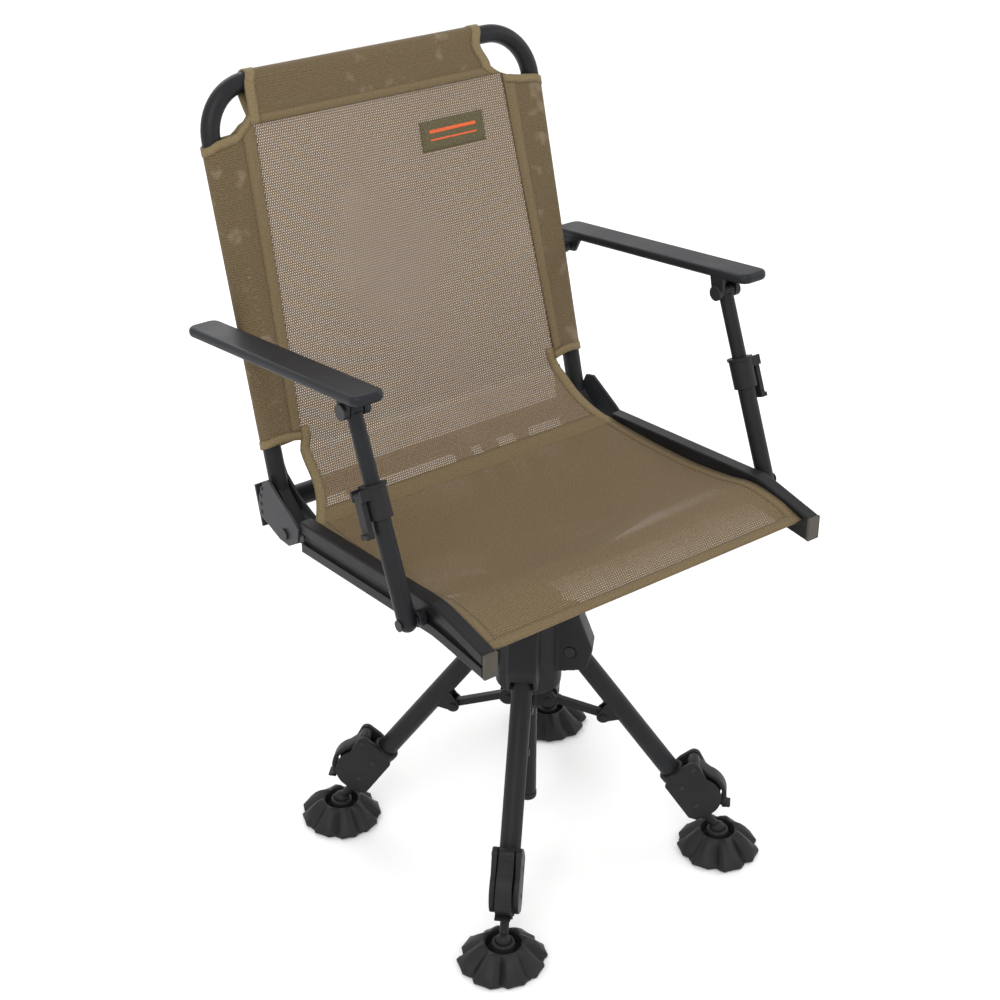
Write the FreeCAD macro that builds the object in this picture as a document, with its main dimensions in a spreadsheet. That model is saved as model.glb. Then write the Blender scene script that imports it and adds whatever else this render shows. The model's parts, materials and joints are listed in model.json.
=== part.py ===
import FreeCAD, Part
import math
import os
from FreeCAD import Placement, Rotation, Vector

# Blind swivel chair: a sling seat and back on a swivel hub with four folding, telescoping legs.
# Frame: millimetres, +Z up, the front of the seat towards -Y.
# The origin is on the ground, under the axis that the seat swivels about.

sizes = {
    # folding base
    "hub_top": 345, "hub_skirt_bottom": 240, "hub_radius": 41, "hub_skirt_bore": 37.5,
    "hub_skirt_depth": 32, "hub_arm_width": 36.5, "hub_arm_bottom": 264, "hub_arm_shoulder": 62,
    "hub_arm_reach": 80, "hub_arm_nose": 296, "hub_arm_heel": 74, "hub_arm_root": 44,
    "hub_arm_round": 3.5, "channel_length": 70, "channel_bottom": 215, "channel_top": 305,
    "post_diameter": 22, "post_wall": 1.8, "post_bottom": 66, "post_cap_height": 10,
    "post_cap_lip": 0.6, "post_cap_round": 4, "post_plug_length": 18,
    "lock_hole_height": 136, "lock_hole_radius": 3.5,
    "leg_spread": 36.4, "leg_pivot_reach": 52, "leg_pivot_height": 292,
    "leg_diameter": 25.4, "leg_wall": 1.6, "leg_above_pivot": 9, "leg_end": 262,
    "leg_tube_crown": 3,
    "inner_leg_diameter": 21.4, "inner_leg_wall": 1.6, "inner_leg_top": 110, "inner_leg_end": 296,
    "inner_plug_length": 24, "inner_plug_inside": 20, "neck_length": 30, "neck_below_ball": 2,
    "neck_radius": 5.5, "ball_radius": 9.5, "ball_height": 30, "ball_gap": 0.3,
    "slide_gap": 0.35, "channel_gap": 0.5, "pin_gap": 0.06,
    "pivot_bolt_radius": 4, "bolt_head_radius": 7, "bolt_head_height": 2.4,
    # stretcher links and the collar that carries them
    "collar_height": 24, "collar_radius": 16, "collar_pin_reach": 25, "collar_pin_height": 214,
    "collar_ear_radius": 11, "collar_web_start": 12, "ear_thickness": 3.4, "link_width": 10,
    "link_pin_along": 104, "link_pin_drop": 24, "link_pin_radius": 3,
    "link_bar_height": 9, "link_eye_radius": 8, "link_tip_radius": 5,
    "bracket_gap": 14, "bracket_thickness": 3, "bracket_radius": 8, "bracket_spread": 14,
    "bracket_root": 6, "link_rivet_radius": 4.5, "link_rivet_height": 2,
    # clamps, levers and feet of the legs
    "clamp_width": 35, "clamp_top": 230, "clamp_bottom": 290, "clamp_half_depth": 16.5,
    "clamp_peak_out": 40, "clamp_peak_along": 275, "clamp_round": 1.6, "clamp_ear_radius": 8.5,
    "clamp_hold": 200, "lever_slot_width": 22, "lever_slot_start": 190, "lever_width": 19,
    "lever_pivot_out": 31, "lever_pivot_along": 224, "lever_eye_radius": 7.5,
    "lever_pin_radius": 2.5, "lever_thickness": 6.5, "lever_reach": 50, "lever_lip": 9,
    "foot_radius": 57, "foot_rim_height": 7, "foot_crown_radius": 28, "foot_height": 34,
    "foot_recess_radius": 20.5, "foot_recess_floor": 14, "socket_radius": 14, "socket_top": 30.6,
    "foot_unevenness": 3, "crown_unevenness": 1, "flute_radius": 9, "flute_length": 60,
    "flute_reach": 30, "flute_height": 42, "flute_pitch": 118,
    # swivel
    "spindle_radius": 14, "spindle_flange_radius": 38, "spindle_flange_height": 4,
    "spindle_top": 421, "housing_radius": 22, "housing_flange_radius": 40, "swivel_gap": 0.5,
    "retainer_lip": 5, "retainer_height": 3, "housing_flange_height": 5,
    "support_height": 416, "plate_thickness": 4, "plate_length": 130,
    # seat
    "rail_inner": 227, "rail_width": 18, "rail_height": 40, "rail_rear": 118,
    "rail_rear_middle": 471, "rail_bend": -140, "rail_bend_middle": 487,
    "rail_front": -230, "rail_front_middle": 474, "rail_front_height": 30,
    "groove_height": 7, "groove_depth": 4,
    "support_tube_radius": 9.5, "crossbar_radius": 13, "crossbar_depth": 193, "crossbar_height": 480,
    "strap_width": 24, "strap_thickness": 4, "inner_strap": 35, "outer_strap": 76, "crossbar_wall": 2,
    "front_arm_depth": -32, "front_arm_end_height": 458, "front_arm_knee": 90, "rear_arm_reach": 130,
    "rear_arm_knee_depth": 130, "rear_arm_knee_height": 432, "strap_knee_depth": 132,
    "strap_knee_height": 428, "rail_round": 2.5, "plug_thickness": 3.5,
    "sling_thickness": 4, "sling_rear": 119, "seat_sling_half": 224,
    "sling_rear_height": 484, "sling_middle": 40, "sling_middle_height": 481,
    "sling_bend_height": 497, "sling_front_height": 482,
    # back
    "recline": 14.6, "hinge_depth": 147.5, "hinge_height": 463, "hinge_ear_radius": 10.5,
    "hinge_bolt_radius": 4, "back_tube_radius": 11, "back_tube_wall": 1.5, "back_half": 227,
    "back_tube_setback": 30.9, "back_tube_bottom": 14, "back_tube_top": 512, "back_corner": 58,
    "back_ear_width": 14, "back_ear_top": 48, "stud_boss_radius": 8, "stud_boss_reach": 17,
    "back_sling_bottom": 52, "back_sling_half": 212, "back_sling_shoulder": 450,
    "back_sling_top": 499, "back_sling_top_half": 178, "back_sling_front": 21,
    "rivet_radius": 4, "rivet_height": 2.2, "rivet_sink": 0.6, "lower_rivet": 24, "upper_rivet": 38,
    "hinge_plate_thickness": 3, "hinge_plate_outer": 245, "hinge_plate_inner": 211,
    "hinge_web_height": 52, "hinge_web_depth": 201, "hinge_web_bottom": 450, "hinge_web_lean": 14,
    "hinge_bolt_head": 7, "side_bolt_head_height": 2.6,
    # arms
    "arm_side": 264.5, "arm_base_depth": -124.8, "arm_base_height": 483.4,
    "arm_top_depth": -36.3, "arm_top_height": 700.5, "arm_lower_radius": 10.5,
    "arm_upper_radius": 8.8, "arm_tube_wall": 1.25, "arm_lower_top": 150, "arm_upper_bottom": 60,
    "arm_eye_radius": 8.5, "arm_eye_width": 15, "arm_spacer_radius": 9, "arm_bolt_gap": 0.5,
    "arm_base_cap_radius": 6.5, "arm_base_cap_height": 0.8,
    "arm_bolt_head_radius": 9, "arm_bolt_head_height": 3.5,
    "arm_bolt_radius": 3.5, "arm_clamp_radius": 14, "arm_clamp_bottom": 116, "arm_clamp_top": 153,
    "arm_rim_height": 3, "arm_cheek_length": 16, "arm_cheek_width": 3, "arm_cheek_height": 12,
    "arm_cheek_offset": 9, "arm_lever_drop": 8, "arm_lever_pin": 2, "arm_lever_tip": 5,
    "arm_lever_out": 19, "arm_lever_length": 46, "arm_lever_width": 14, "arm_lever_thickness": 6,
    "pad_slope": 6.4, "pad_front": 48, "pad_length": 353, "pad_width": 40.4, "pad_inner": 250.7,
    "pad_thickness": 12, "pad_rise": 17.6, "pad_round": 5, "pad_corner": 12, "pad_ear_gap": 18.6,
    "pad_ear_thickness": 4, "pad_ear_radius": 9, "pad_lug_thickness": 4, "stud_radius": 4,
}

doc = FreeCAD.newDocument("BlindSwivelChair")
dim = doc.addObject("Spreadsheet::Sheet", "dim")
for row, (alias, number) in enumerate(sizes.items(), start=1):
    dim.set(f"A{row}", alias)
    dim.set(f"B{row}", str(number))
    dim.setAlias(f"B{row}", alias)
doc.recompute()

UP = Vector(0, 0, 1)
ALONG_X = Vector(1, 0, 0)
ALONG_Y = Vector(0, 1, 0)
nodes = []


def size(alias):
    return float(dim.get(alias))


def at(x=0.0, y=0.0, z=0.0, axis=UP, angle=0.0):
    return Placement(Vector(x, y, z), Rotation(axis, angle))


def keep(solid, label, placement=None):
    """Name a finished sub-part and put it in its place."""
    if placement is not None:
        solid.Placement = placement.multiply(solid.Placement)
    solid.Label = label
    nodes.append(solid)
    return solid


# ---- primitives bound to the sheet -------------------------------------------------------

def cylinder(radius, height, placement, name="Cylinder"):
    solid = doc.addObject("Part::Cylinder", name)
    solid.setExpression("Radius", radius)
    solid.setExpression("Height", height)
    solid.Placement = placement
    return solid


def box(length, width, height, placement, name="Box"):
    """A box centred on its placement in X and Y, rising from it along Z."""
    solid = doc.addObject("Part::Box", name)
    solid.setExpression("Length", length)
    solid.setExpression("Width", width)
    solid.setExpression("Height", height)
    doc.recompute()
    centred = at(-solid.Length.Value / 2, -solid.Width.Value / 2, 0)
    solid.Placement = placement.multiply(centred)
    return solid


def ball(radius, placement, name="Ball"):
    solid = doc.addObject("Part::Sphere", name)
    solid.setExpression("Radius", radius)
    solid.Placement = placement
    return solid


def cross_pin(radius, length, placement, name="Pin"):
    """A cylinder centred on its placement, with its axis along the local Y axis."""
    pin = cylinder(radius, length, at(), name)
    doc.recompute()
    turned = at(0, pin.Height.Value / 2, 0, ALONG_X, 90)
    pin.Placement = placement.multiply(turned)
    return pin


def join(parts, name="Join"):
    fused = doc.addObject("Part::MultiFuse", name)
    fused.Shapes = parts
    return fused


def cut(base, tools, name="Cut"):
    result = doc.addObject("Part::Cut", name)
    result.Base = base
    result.Tool = tools[0] if len(tools) == 1 else join(tools)
    return result


def tube(radius, wall, height, placement, name="Tube"):
    outer = cylinder(radius, height, placement)
    inner = cylinder(f"{radius} - {wall}", height, placement)
    return cut(outer, [inner], name)


def group(parts, name="Group"):
    compound = doc.addObject("Part::Compound", name)
    compound.Links = parts
    return compound


# ---- sketched bodies -------------------------------------------------------------------

def sketch_on(body, role, name):
    sketch = body.newObject("Sketcher::SketchObject", name)
    plane = next(item for item in body.Origin.OriginFeatures if item.Role == role)
    sketch.AttachmentSupport = [(plane, "")]
    sketch.MapMode = "FlatFace"
    return sketch


def add_outline(sketch, points):
    corners = [Vector(u, v, 0) for u, v in points]
    for start, end in zip(corners, corners[1:] + corners[:1]):
        sketch.addGeometry(Part.LineSegment(start, end), False)


def plate(points, thickness, role="XZ_Plane", name="Plate", round_corners=None, radius=None):
    """Pad an outline, centred on its sketch plane; round_corners picks edges to fillet."""
    body = doc.addObject("PartDesign::Body", name)
    sketch = sketch_on(body, role, name + "Outline")
    add_outline(sketch, points)
    pad = body.newObject("PartDesign::Pad", name + "Pad")
    pad.Profile = sketch
    pad.setExpression("Length", thickness)
    doc.recompute()
    if round_corners:
        edges = [f"Edge{number}" for number, edge in enumerate(pad.Shape.Edges, start=1)
                 if round_corners(edge)]
        fillet = body.newObject("PartDesign::Fillet", name + "Round")
        fillet.Base = (pad, edges)
        fillet.setExpression("Radius", radius)
        doc.recompute()
    half = pad.Length.Value / 2
    body.Placement = at(0, half, 0) if role == "XZ_Plane" else at(-half, 0, 0)
    return body


def disc_points(u, v, radius, start, end, steps):
    """Points on an arc about (u, v), from one angle in degrees to another."""
    angles = [math.radians(start + (end - start) * step / steps) for step in range(steps + 1)]
    return [(u + radius * math.cos(angle), v + radius * math.sin(angle)) for angle in angles]


# ---- the base ----------------------------------------------------------------------------

leg_names = {"front_left": 225, "front_right": 315, "rear_right": 45, "rear_left": 135}
leg_turns = {name: at(angle=angle) for name, angle in leg_names.items()}

# Along a leg: +Z runs down the tube from its pivot in the hub, +X is its inner side.
leg_frame = at(size("leg_pivot_reach"), 0, size("leg_pivot_height"), ALONG_Y,
               180 - size("leg_spread"))


def leg_channel():
    """The room inside one hub arm that its leg folds through."""
    radius = size("leg_diameter") / 2 + size("channel_gap")
    width = "dim.leg_diameter + 2 * dim.channel_gap"
    swept = box("dim.channel_length + dim.leg_diameter / 2 + dim.channel_gap", width,
                "dim.channel_length",
                leg_frame.multiply(at((size("channel_length") - radius) / 2, 0, -2)))
    outside = box("dim.channel_length", "2 * dim.hub_radius", "dim.channel_top - dim.channel_bottom",
                  at(size("hub_radius") + size("channel_length") / 2 - 0.5, 0, size("channel_bottom")))
    passage = doc.addObject("Part::Common", "Passage")
    passage.Base = swept
    passage.Tool = outside
    head = cross_pin("sqrt(dim.leg_above_pivot^2 + dim.leg_diameter^2 / 4) + dim.channel_gap", width,
                     at(size("leg_pivot_reach"), 0, size("leg_pivot_height")))
    return [passage, head]


def hub_arm():
    top = size("hub_top")
    bottom = size("hub_arm_bottom")
    root = size("hub_arm_root")
    outline = [(0, top), (size("hub_arm_shoulder"), top), (size("hub_arm_reach"), size("hub_arm_nose")),
               (size("hub_arm_heel"), bottom + 4), (root, bottom), (0, bottom)]

    def is_outer_corner(edge):
        bounds = edge.BoundBox
        return bounds.XMin > root - 4 and bounds.ZMax > bottom + 10 and bounds.YLength < 1

    return plate(outline, "dim.hub_arm_width", name="HubArm", round_corners=is_outer_corner,
                 radius="dim.hub_arm_round")


def leg_hub():
    pivot = at(size("leg_pivot_reach"), 0, size("leg_pivot_height"))
    skirt = at(z=size("hub_skirt_bottom"))
    body = cylinder("dim.hub_radius", "dim.hub_top - dim.hub_skirt_bottom", skirt)
    arms = []
    hollows = [cylinder("dim.hub_skirt_bore", "dim.hub_skirt_depth", skirt),
               cylinder("dim.post_diameter / 2", "dim.hub_top", at())]
    for turn in leg_turns.values():
        arm = hub_arm()
        arm.Placement = turn.multiply(arm.Placement)
        arms.append(arm)
        room = leg_channel()
        room.append(cross_pin("dim.pivot_bolt_radius", "dim.hub_arm_width + 2", pivot))
        for side in (-1, 1):
            seat = pivot.multiply(at(0, side * size("hub_arm_width") / 2, 0))
            room.append(cross_pin("dim.bolt_head_radius + 0.5", "2 * dim.bolt_head_height + 0.8", seat))
        for hollow in room:
            hollow.Placement = turn.multiply(hollow.Placement)
        hollows += room
    keep(cut(join([body] + arms, "HubSolid"), hollows, "LegHub"), "leg_hub")


def centre_post():
    foot_end = at(z=size("post_bottom"))
    length = "dim.hub_top - dim.post_bottom"
    lock_hole = cylinder("dim.lock_hole_radius", "dim.post_diameter",
                         leg_turns["front_left"].multiply(at(0, 0, size("lock_hole_height"), ALONG_Y, 90)))
    post = tube("dim.post_diameter / 2", "dim.post_wall", length, foot_end)
    keep(cut(post, [lock_hole], "CentrePost"), "centre_post")


def post_cap():
    bottom = size("post_bottom") - size("post_cap_height")
    head = cylinder("dim.post_diameter / 2 + dim.post_cap_lip", "dim.post_cap_height", at(z=bottom))
    doc.recompute()
    rounded = doc.addObject("Part::Fillet", "PostCapRound")
    rounded.Base = head
    radius = size("post_cap_round")
    rounded.Edges = [(number, radius, radius) for number, edge in enumerate(head.Shape.Edges, start=1)
                     if edge.BoundBox.ZMax < bottom + 0.1]
    plug = cylinder("dim.post_diameter / 2 - dim.post_wall", "dim.post_plug_length",
                    at(z=size("post_bottom")))
    keep(join([rounded, plug], "PostCap"), "post_cap")


def leg_pivot_bolts():
    bolts = []
    for turn in leg_turns.values():
        pivot = turn.multiply(at(size("leg_pivot_reach"), 0, size("leg_pivot_height")))
        shank = cross_pin("dim.pivot_bolt_radius", "dim.hub_arm_width - 0.4", pivot)
        heads = []
        for side in (-1, 1):
            place = pivot.multiply(at(0, side * (size("hub_arm_width") - size("bolt_head_height")) / 2, 0))
            heads.append(cross_pin("dim.bolt_head_radius", "dim.bolt_head_height", place))
        bolts.append(join([shank] + heads, "LegBolt"))
    keep(group(bolts, "LegPivotBolts"), "leg_pivot_bolts")


def swivel_spindle():
    base = size("hub_top")
    flange = cylinder("dim.spindle_flange_radius", "dim.spindle_flange_height", at(z=base))
    shaft = cylinder("dim.spindle_radius", "dim.spindle_top - dim.hub_top", at(z=base))
    retainer = cylinder("dim.spindle_radius + dim.retainer_lip", "dim.retainer_height",
                        at(z=size("spindle_top")))
    keep(join([flange, shaft, retainer], "SwivelSpindle"), "swivel_spindle")


# ---- collar and links --------------------------------------------------------------------

def slide_collar():
    middle = size("collar_pin_height")
    reach = size("collar_pin_reach")
    radius = size("collar_ear_radius")
    bottom = middle - size("collar_height") / 2
    sleeve = cylinder("dim.collar_radius", "dim.collar_height", at(z=bottom))
    parts = [sleeve]
    holes = [cylinder("dim.post_diameter / 2 + dim.slide_gap", "dim.collar_height", at(z=bottom))]
    offset = (size("link_width") + size("ear_thickness")) / 2 + 0.5
    for turn in leg_turns.values():
        for side in (-1, 1):
            ear = cross_pin("dim.collar_ear_radius", "dim.ear_thickness",
                            turn.multiply(at(reach, side * offset, middle)))
            web = box("dim.collar_pin_reach - dim.collar_web_start", "dim.ear_thickness",
                      "2 * dim.collar_ear_radius - 2",
                      turn.multiply(at((size("collar_web_start") + reach) / 2, side * offset,
                                       middle - radius + 1)))
            parts += [ear, web]
        holes.append(cross_pin("dim.link_pin_radius + dim.pin_gap", "3 * dim.link_width",
                               turn.multiply(at(reach, 0, middle))))
    keep(cut(join(parts, "CollarSolid"), holes, "SlideCollar"), "slide_collar")


def link_end():
    """Where a link meets its leg, as (reach, height) in the leg's own upright plane."""
    point = leg_frame.multVec(Vector(size("link_pin_drop"), 0, size("link_pin_along")))
    return point.x, point.z


def link(name, turn):
    reach, height = link_end()
    run = reach - size("collar_pin_reach")
    drop = size("collar_pin_height") - height
    length = math.hypot(run, drop)
    # In the link's own frame X runs from the collar pin out to the leg.
    frame = turn.multiply(at(size("collar_pin_reach"), 0, size("collar_pin_height"), ALONG_Y,
                             math.degrees(math.atan2(drop, run))))
    half = size("link_bar_height") / 2
    bar = box(f"{length}", "dim.link_width - 2", "dim.link_bar_height", at(length / 2, 0, -half))
    eye = cross_pin("dim.link_eye_radius", "dim.link_width", at())
    tip = cross_pin("dim.link_tip_radius", "dim.link_width", at(length, 0, 0))
    pin = cross_pin("dim.link_pin_radius", "dim.link_width + 2 * dim.ear_thickness + 3", at())
    keep(join([bar, eye, tip, pin], "Link"), "link_" + name, frame)


# ---- legs ----------------------------------------------------------------------------------

def leg_tube(name, frame):
    top = -size("leg_above_pivot")
    length = "dim.leg_end + dim.leg_above_pivot"
    outer = cylinder("dim.leg_diameter / 2", length, at(z=top))
    along = size("link_pin_along")
    drop = size("link_pin_drop")
    radius = size("bracket_radius")
    ears = []
    offset = (size("bracket_gap") + size("bracket_thickness")) / 2
    for side in (-1, 1):
        outline = [(size("bracket_root"), along - size("bracket_spread")), (drop - 2, along - radius)]
        outline += disc_points(drop, along, radius, -80, 80, 8)
        outline += [(drop - 2, along + radius), (size("bracket_root"), along + size("bracket_spread"))]
        ear = plate(outline, "dim.bracket_thickness", name="LinkEar")
        ear.Placement = at(0, side * offset, 0).multiply(ear.Placement)
        outside = offset + (size("bracket_thickness") + size("link_rivet_height")) / 2
        rivet = cross_pin("dim.link_rivet_radius", "dim.link_rivet_height",
                          at(drop, side * outside, along))
        ears += [ear, rivet]
    solid = join([outer] + ears, "LegSolid")
    bore = cylinder("dim.leg_diameter / 2 - dim.leg_wall", length, at(z=top + size("leg_tube_crown")))
    hole = cross_pin("dim.pivot_bolt_radius + dim.pin_gap", "2 * dim.leg_diameter", at())
    keep(cut(solid, [bore, hole], "LegTube"), "leg_tube_" + name, frame)


def leg_clamp(name, frame):
    depth = size("clamp_half_depth")
    top = size("clamp_top")
    bottom = size("clamp_bottom")
    peak = size("clamp_peak_out")
    pivot_out = size("lever_pivot_out")
    pivot_along = size("lever_pivot_along")
    outline = [(depth, top), (depth, bottom - 5), (8, bottom), (-14, bottom + 3), (-22, bottom),
               (-peak, size("clamp_peak_along")), (-peak + 1, top + 32), (-27, top + 14)]
    outline += disc_points(-pivot_out, pivot_along, size("clamp_ear_radius"), 140, 300, 8)
    outline += [(-12, pivot_along - 8), (-12, top)]
    solid = plate(outline, "dim.clamp_width", name="ClampSolid",
                  round_corners=lambda edge: edge.BoundBox.YLength < 1 and edge.BoundBox.XMin > -45,
                  radius="dim.clamp_round")
    hollows = [
        cylinder("dim.leg_diameter / 2", "dim.leg_end + 1 - dim.clamp_hold", at(z=size("clamp_hold"))),
        cylinder("dim.inner_leg_diameter / 2 + dim.slide_gap", "dim.clamp_bottom - dim.clamp_hold",
                 at(z=size("leg_end") - 4)),
        box("dim.clamp_peak_out", "dim.lever_slot_width", "dim.clamp_bottom",
            at(-depth - size("clamp_peak_out") / 2 - 0.5, 0, size("lever_slot_start"))),
        cross_pin("dim.lever_pin_radius", "dim.clamp_width + 2", at(-pivot_out, 0, pivot_along)),
    ]
    keep(cut(solid, hollows, "LegClamp"), "leg_clamp_" + name, frame)


def leg_lever(name, frame):
    out = size("lever_pivot_out")
    along = size("lever_pivot_along")
    thick = size("lever_thickness")
    reach = size("lever_reach")
    arch = [(out + 3, along), (out + 9, along + reach / 3), (out + 13, along + reach * 2 / 3),
            (out + 14, along + reach)]
    outer = [(-u - thick, v) for u, v in arch]
    inner = [(-u, v) for u, v in reversed(arch)]
    tip = along + reach + size("lever_lip")
    lip = [(-out - 24, tip - 4), (-out - 23, tip), (-out - 14, tip - 1)]
    bar = plate(outer + lip + inner, "dim.lever_width", name="LeverBar")
    eye = cross_pin("dim.lever_eye_radius", "dim.lever_width", at(-out, 0, along))
    pin = cross_pin("dim.lever_pin_radius - dim.pin_gap", "dim.clamp_width - 0.4", at(-out, 0, along))
    keep(join([bar, eye, pin], "LegLever"), "leg_lever_" + name, frame)


def inner_leg(name, frame):
    top = size("inner_leg_top")
    along = (size("leg_pivot_height") - size("ball_height")) / math.cos(math.radians(size("leg_spread")))
    shell = cut(cylinder("dim.inner_leg_diameter / 2", "dim.inner_leg_end - dim.inner_leg_top", at(z=top)),
                [cylinder("dim.inner_leg_diameter / 2 - dim.inner_leg_wall",
                          "dim.inner_leg_end - dim.inner_leg_top", at(z=top))])
    plug = cylinder("dim.inner_leg_diameter / 2 - dim.inner_leg_wall", "dim.inner_plug_length",
                    at(z=size("inner_leg_end") - size("inner_plug_inside")))
    neck = cylinder("dim.neck_radius", "dim.neck_length",
                    at(z=along - size("neck_length") - size("neck_below_ball")))
    cup = ball("dim.ball_radius + dim.ball_gap", at(z=along))
    solid = cut(join([shell, plug, neck]), [cup], "InnerLeg")
    keep(solid, "inner_leg_" + name, frame)


def ball_joint(name, turn):
    keep(ball("dim.ball_radius", at(foot_reach(), 0, size("ball_height")), "FootBall"),
         "foot_ball_" + name, turn)


def foot_reach():
    drop = size("leg_pivot_height") - size("ball_height")
    return size("leg_pivot_reach") + drop * math.tan(math.radians(size("leg_spread")))


def foot(name, turn):
    """A ribbed mud foot: eight uneven facets round a recess that holds the ball socket."""
    body = doc.addObject("PartDesign::Body", "FootBody")
    sketches = []
    uneven = size("foot_unevenness")
    rings = [(0, size("foot_radius") - uneven, uneven),
             (size("foot_rim_height"), size("foot_radius"), uneven),
             (size("foot_height"), size("foot_crown_radius"), size("crown_unevenness"))]
    for height, radius, step_in in rings:
        sketch = sketch_on(body, "XY_Plane", "FootRing")
        sketch.AttachmentOffset = at(z=height)
        corners = []
        for corner in range(8):
            reach = radius - (step_in if corner % 2 else 0)
            angle = math.radians(45 * corner + 22.5)
            corners.append((reach * math.cos(angle), reach * math.sin(angle)))
        add_outline(sketch, corners)
        sketches.append(sketch)
    loft = body.newObject("PartDesign::AdditiveLoft", "FootLoft")
    loft.Profile = sketches[0]
    loft.Sections = sketches[1:]
    loft.Ruled = True
    recess = cylinder("dim.foot_recess_radius", "dim.foot_height", at(z=size("foot_recess_floor")))
    socket = cylinder("dim.socket_radius", "dim.socket_top - dim.foot_recess_floor + 2",
                      at(z=size("foot_recess_floor") - 2))
    cup = ball("dim.ball_radius + dim.ball_gap", at(z=size("ball_height")))
    # Flutes between the facets, cut from the rim up to the crown.
    slanted = at(size("flute_reach"), 0, size("flute_height"), ALONG_Y, size("flute_pitch"))
    flutes = []
    for corner in range(4):
        flutes.append(cylinder("dim.flute_radius", "dim.flute_length",
                               at(angle=90 * corner + 45).multiply(slanted)))
    dish = cut(body, [recess] + flutes)
    solid = cut(join([dish, socket]), [cup], "Foot")
    keep(solid, "foot_" + name, turn.multiply(at(foot_reach(), 0, 0)))


# ---- swivelling seat ---------------------------------------------------------------------

def rod(start, end, radius, name="Rod"):
    run = end - start
    return cylinder(radius, f"{run.Length}", Placement(start, Rotation(UP, run)), name)


def bent_tube(points, radius, name="BentTube"):
    """Straight runs with ball-shaped elbows, as one solid."""
    parts = []
    for start, end in zip(points, points[1:]):
        parts.append(rod(start, end, radius))
    for elbow in points[1:-1]:
        parts.append(ball(radius, Placement(elbow, Rotation())))
    return join(parts, name)


def swivel_housing():
    bottom = size("hub_top") + size("spindle_flange_height") + size("swivel_gap")
    height = "dim.support_height - dim.hub_top - dim.spindle_flange_height - dim.swivel_gap"
    barrel = cylinder("dim.housing_radius", height, at(z=bottom))
    foot_flange = cylinder("dim.housing_flange_radius", "dim.housing_flange_height", at(z=bottom))
    top_flange = cylinder("dim.housing_flange_radius", "dim.housing_flange_height",
                          at(z=size("support_height") - size("housing_flange_height")))
    bore = cylinder("dim.spindle_radius + dim.slide_gap", "dim.spindle_top", at())
    keep(cut(join([barrel, foot_flange, top_flange]), [bore], "SwivelHousing"), "swivel_housing")


def strap(across, crossbar):
    """A flat strap from the middle plate up to the crossbar, bent once on the way."""
    points = [Vector(across * 0.6, 40, size("support_height") + 2),
              Vector(across, size("strap_knee_depth"), size("strap_knee_height")),
              crossbar + Vector(across, -6, -8)]
    runs = []
    for start, end in zip(points, points[1:]):
        run = end - start
        length = math.hypot(run.y, run.z) + 6
        pitch = math.degrees(math.atan2(run.z, run.y))
        runs.append(box("dim.strap_width", f"{length}", "dim.strap_thickness",
                        Placement((start + end) * 0.5, Rotation(ALONG_X, pitch))))
    return runs


def seat_support():
    """The plate on the swivel, its two front arms, its two rear arms and two straps."""
    level = size("support_height")
    middle = level + size("plate_thickness") / 2
    front = size("front_arm_depth")
    deck = box("dim.plate_length", "dim.plate_length - 20", "dim.plate_thickness", at(z=level))
    crossbar = Vector(0, size("crossbar_depth"), size("crossbar_height"))
    parts = [deck]
    for side in (-1, 1):
        parts.append(bent_tube([Vector(side * 30, front - 6, middle + 10),
                                Vector(side * size("front_arm_knee"), front - 6, middle + 12),
                                Vector(side * (size("rail_inner") + 2), front, size("front_arm_end_height"))],
                               "dim.support_tube_radius"))
        reach = side * size("rear_arm_reach")
        knee = Vector(reach - side * 10, size("rear_arm_knee_depth"), size("rear_arm_knee_height"))
        parts.append(bent_tube([Vector(side * 40, 34, middle + 9), knee, crossbar + Vector(reach, -7, -8)],
                               "dim.support_tube_radius"))
    parts += strap(size("inner_strap"), crossbar) + strap(size("outer_strap"), crossbar)
    hollows = [cylinder("dim.spindle_radius + dim.slide_gap", "dim.plate_thickness", at(z=level)),
               cylinder("dim.spindle_radius + dim.retainer_lip + dim.slide_gap",
                        "4 * dim.support_tube_radius", at(z=level + size("plate_thickness"))),
               cylinder("dim.crossbar_radius", "2 * dim.rail_inner",
                        at(-size("rail_inner"), crossbar.y, crossbar.z, ALONG_Y, 90))]
    for side in (-1, 1):
        hollows.append(box("60", "4 * dim.rail_inner", "4 * dim.rail_inner",
                           at(side * (size("rail_inner") + 30), 0, 0)))
    keep(cut(join(parts, "SupportSolid"), hollows, "SeatSupport"), "seat_support")


def rear_crossbar():
    keep(tube("dim.crossbar_radius", "dim.crossbar_wall", "2 * dim.hinge_plate_inner",
              at(-size("hinge_plate_inner"), size("crossbar_depth"), size("crossbar_height"), ALONG_Y, 90),
              "RearCrossbar"), "rear_crossbar")


def rail_outline(inset):
    """The rail seen from the side: nearly straight, then bent down over the front edge."""
    stations = [(size("rail_rear"), size("rail_rear_middle"), size("rail_height")),
                (size("rail_bend") + 16, size("rail_bend_middle") - 1, size("rail_height")),
                (size("rail_bend"), size("rail_bend_middle"), size("rail_height")),
                (size("rail_bend") - 18, size("rail_bend_middle") - 1.5, size("rail_height") - 1),
                (size("rail_front"), size("rail_front_middle"), size("rail_front_height"))]
    upper = [(y, middle + height / 2 - inset) for y, middle, height in stations]
    lower = [(y, middle - height / 2 + inset) for y, middle, height in reversed(stations)]
    return upper + lower


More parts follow.
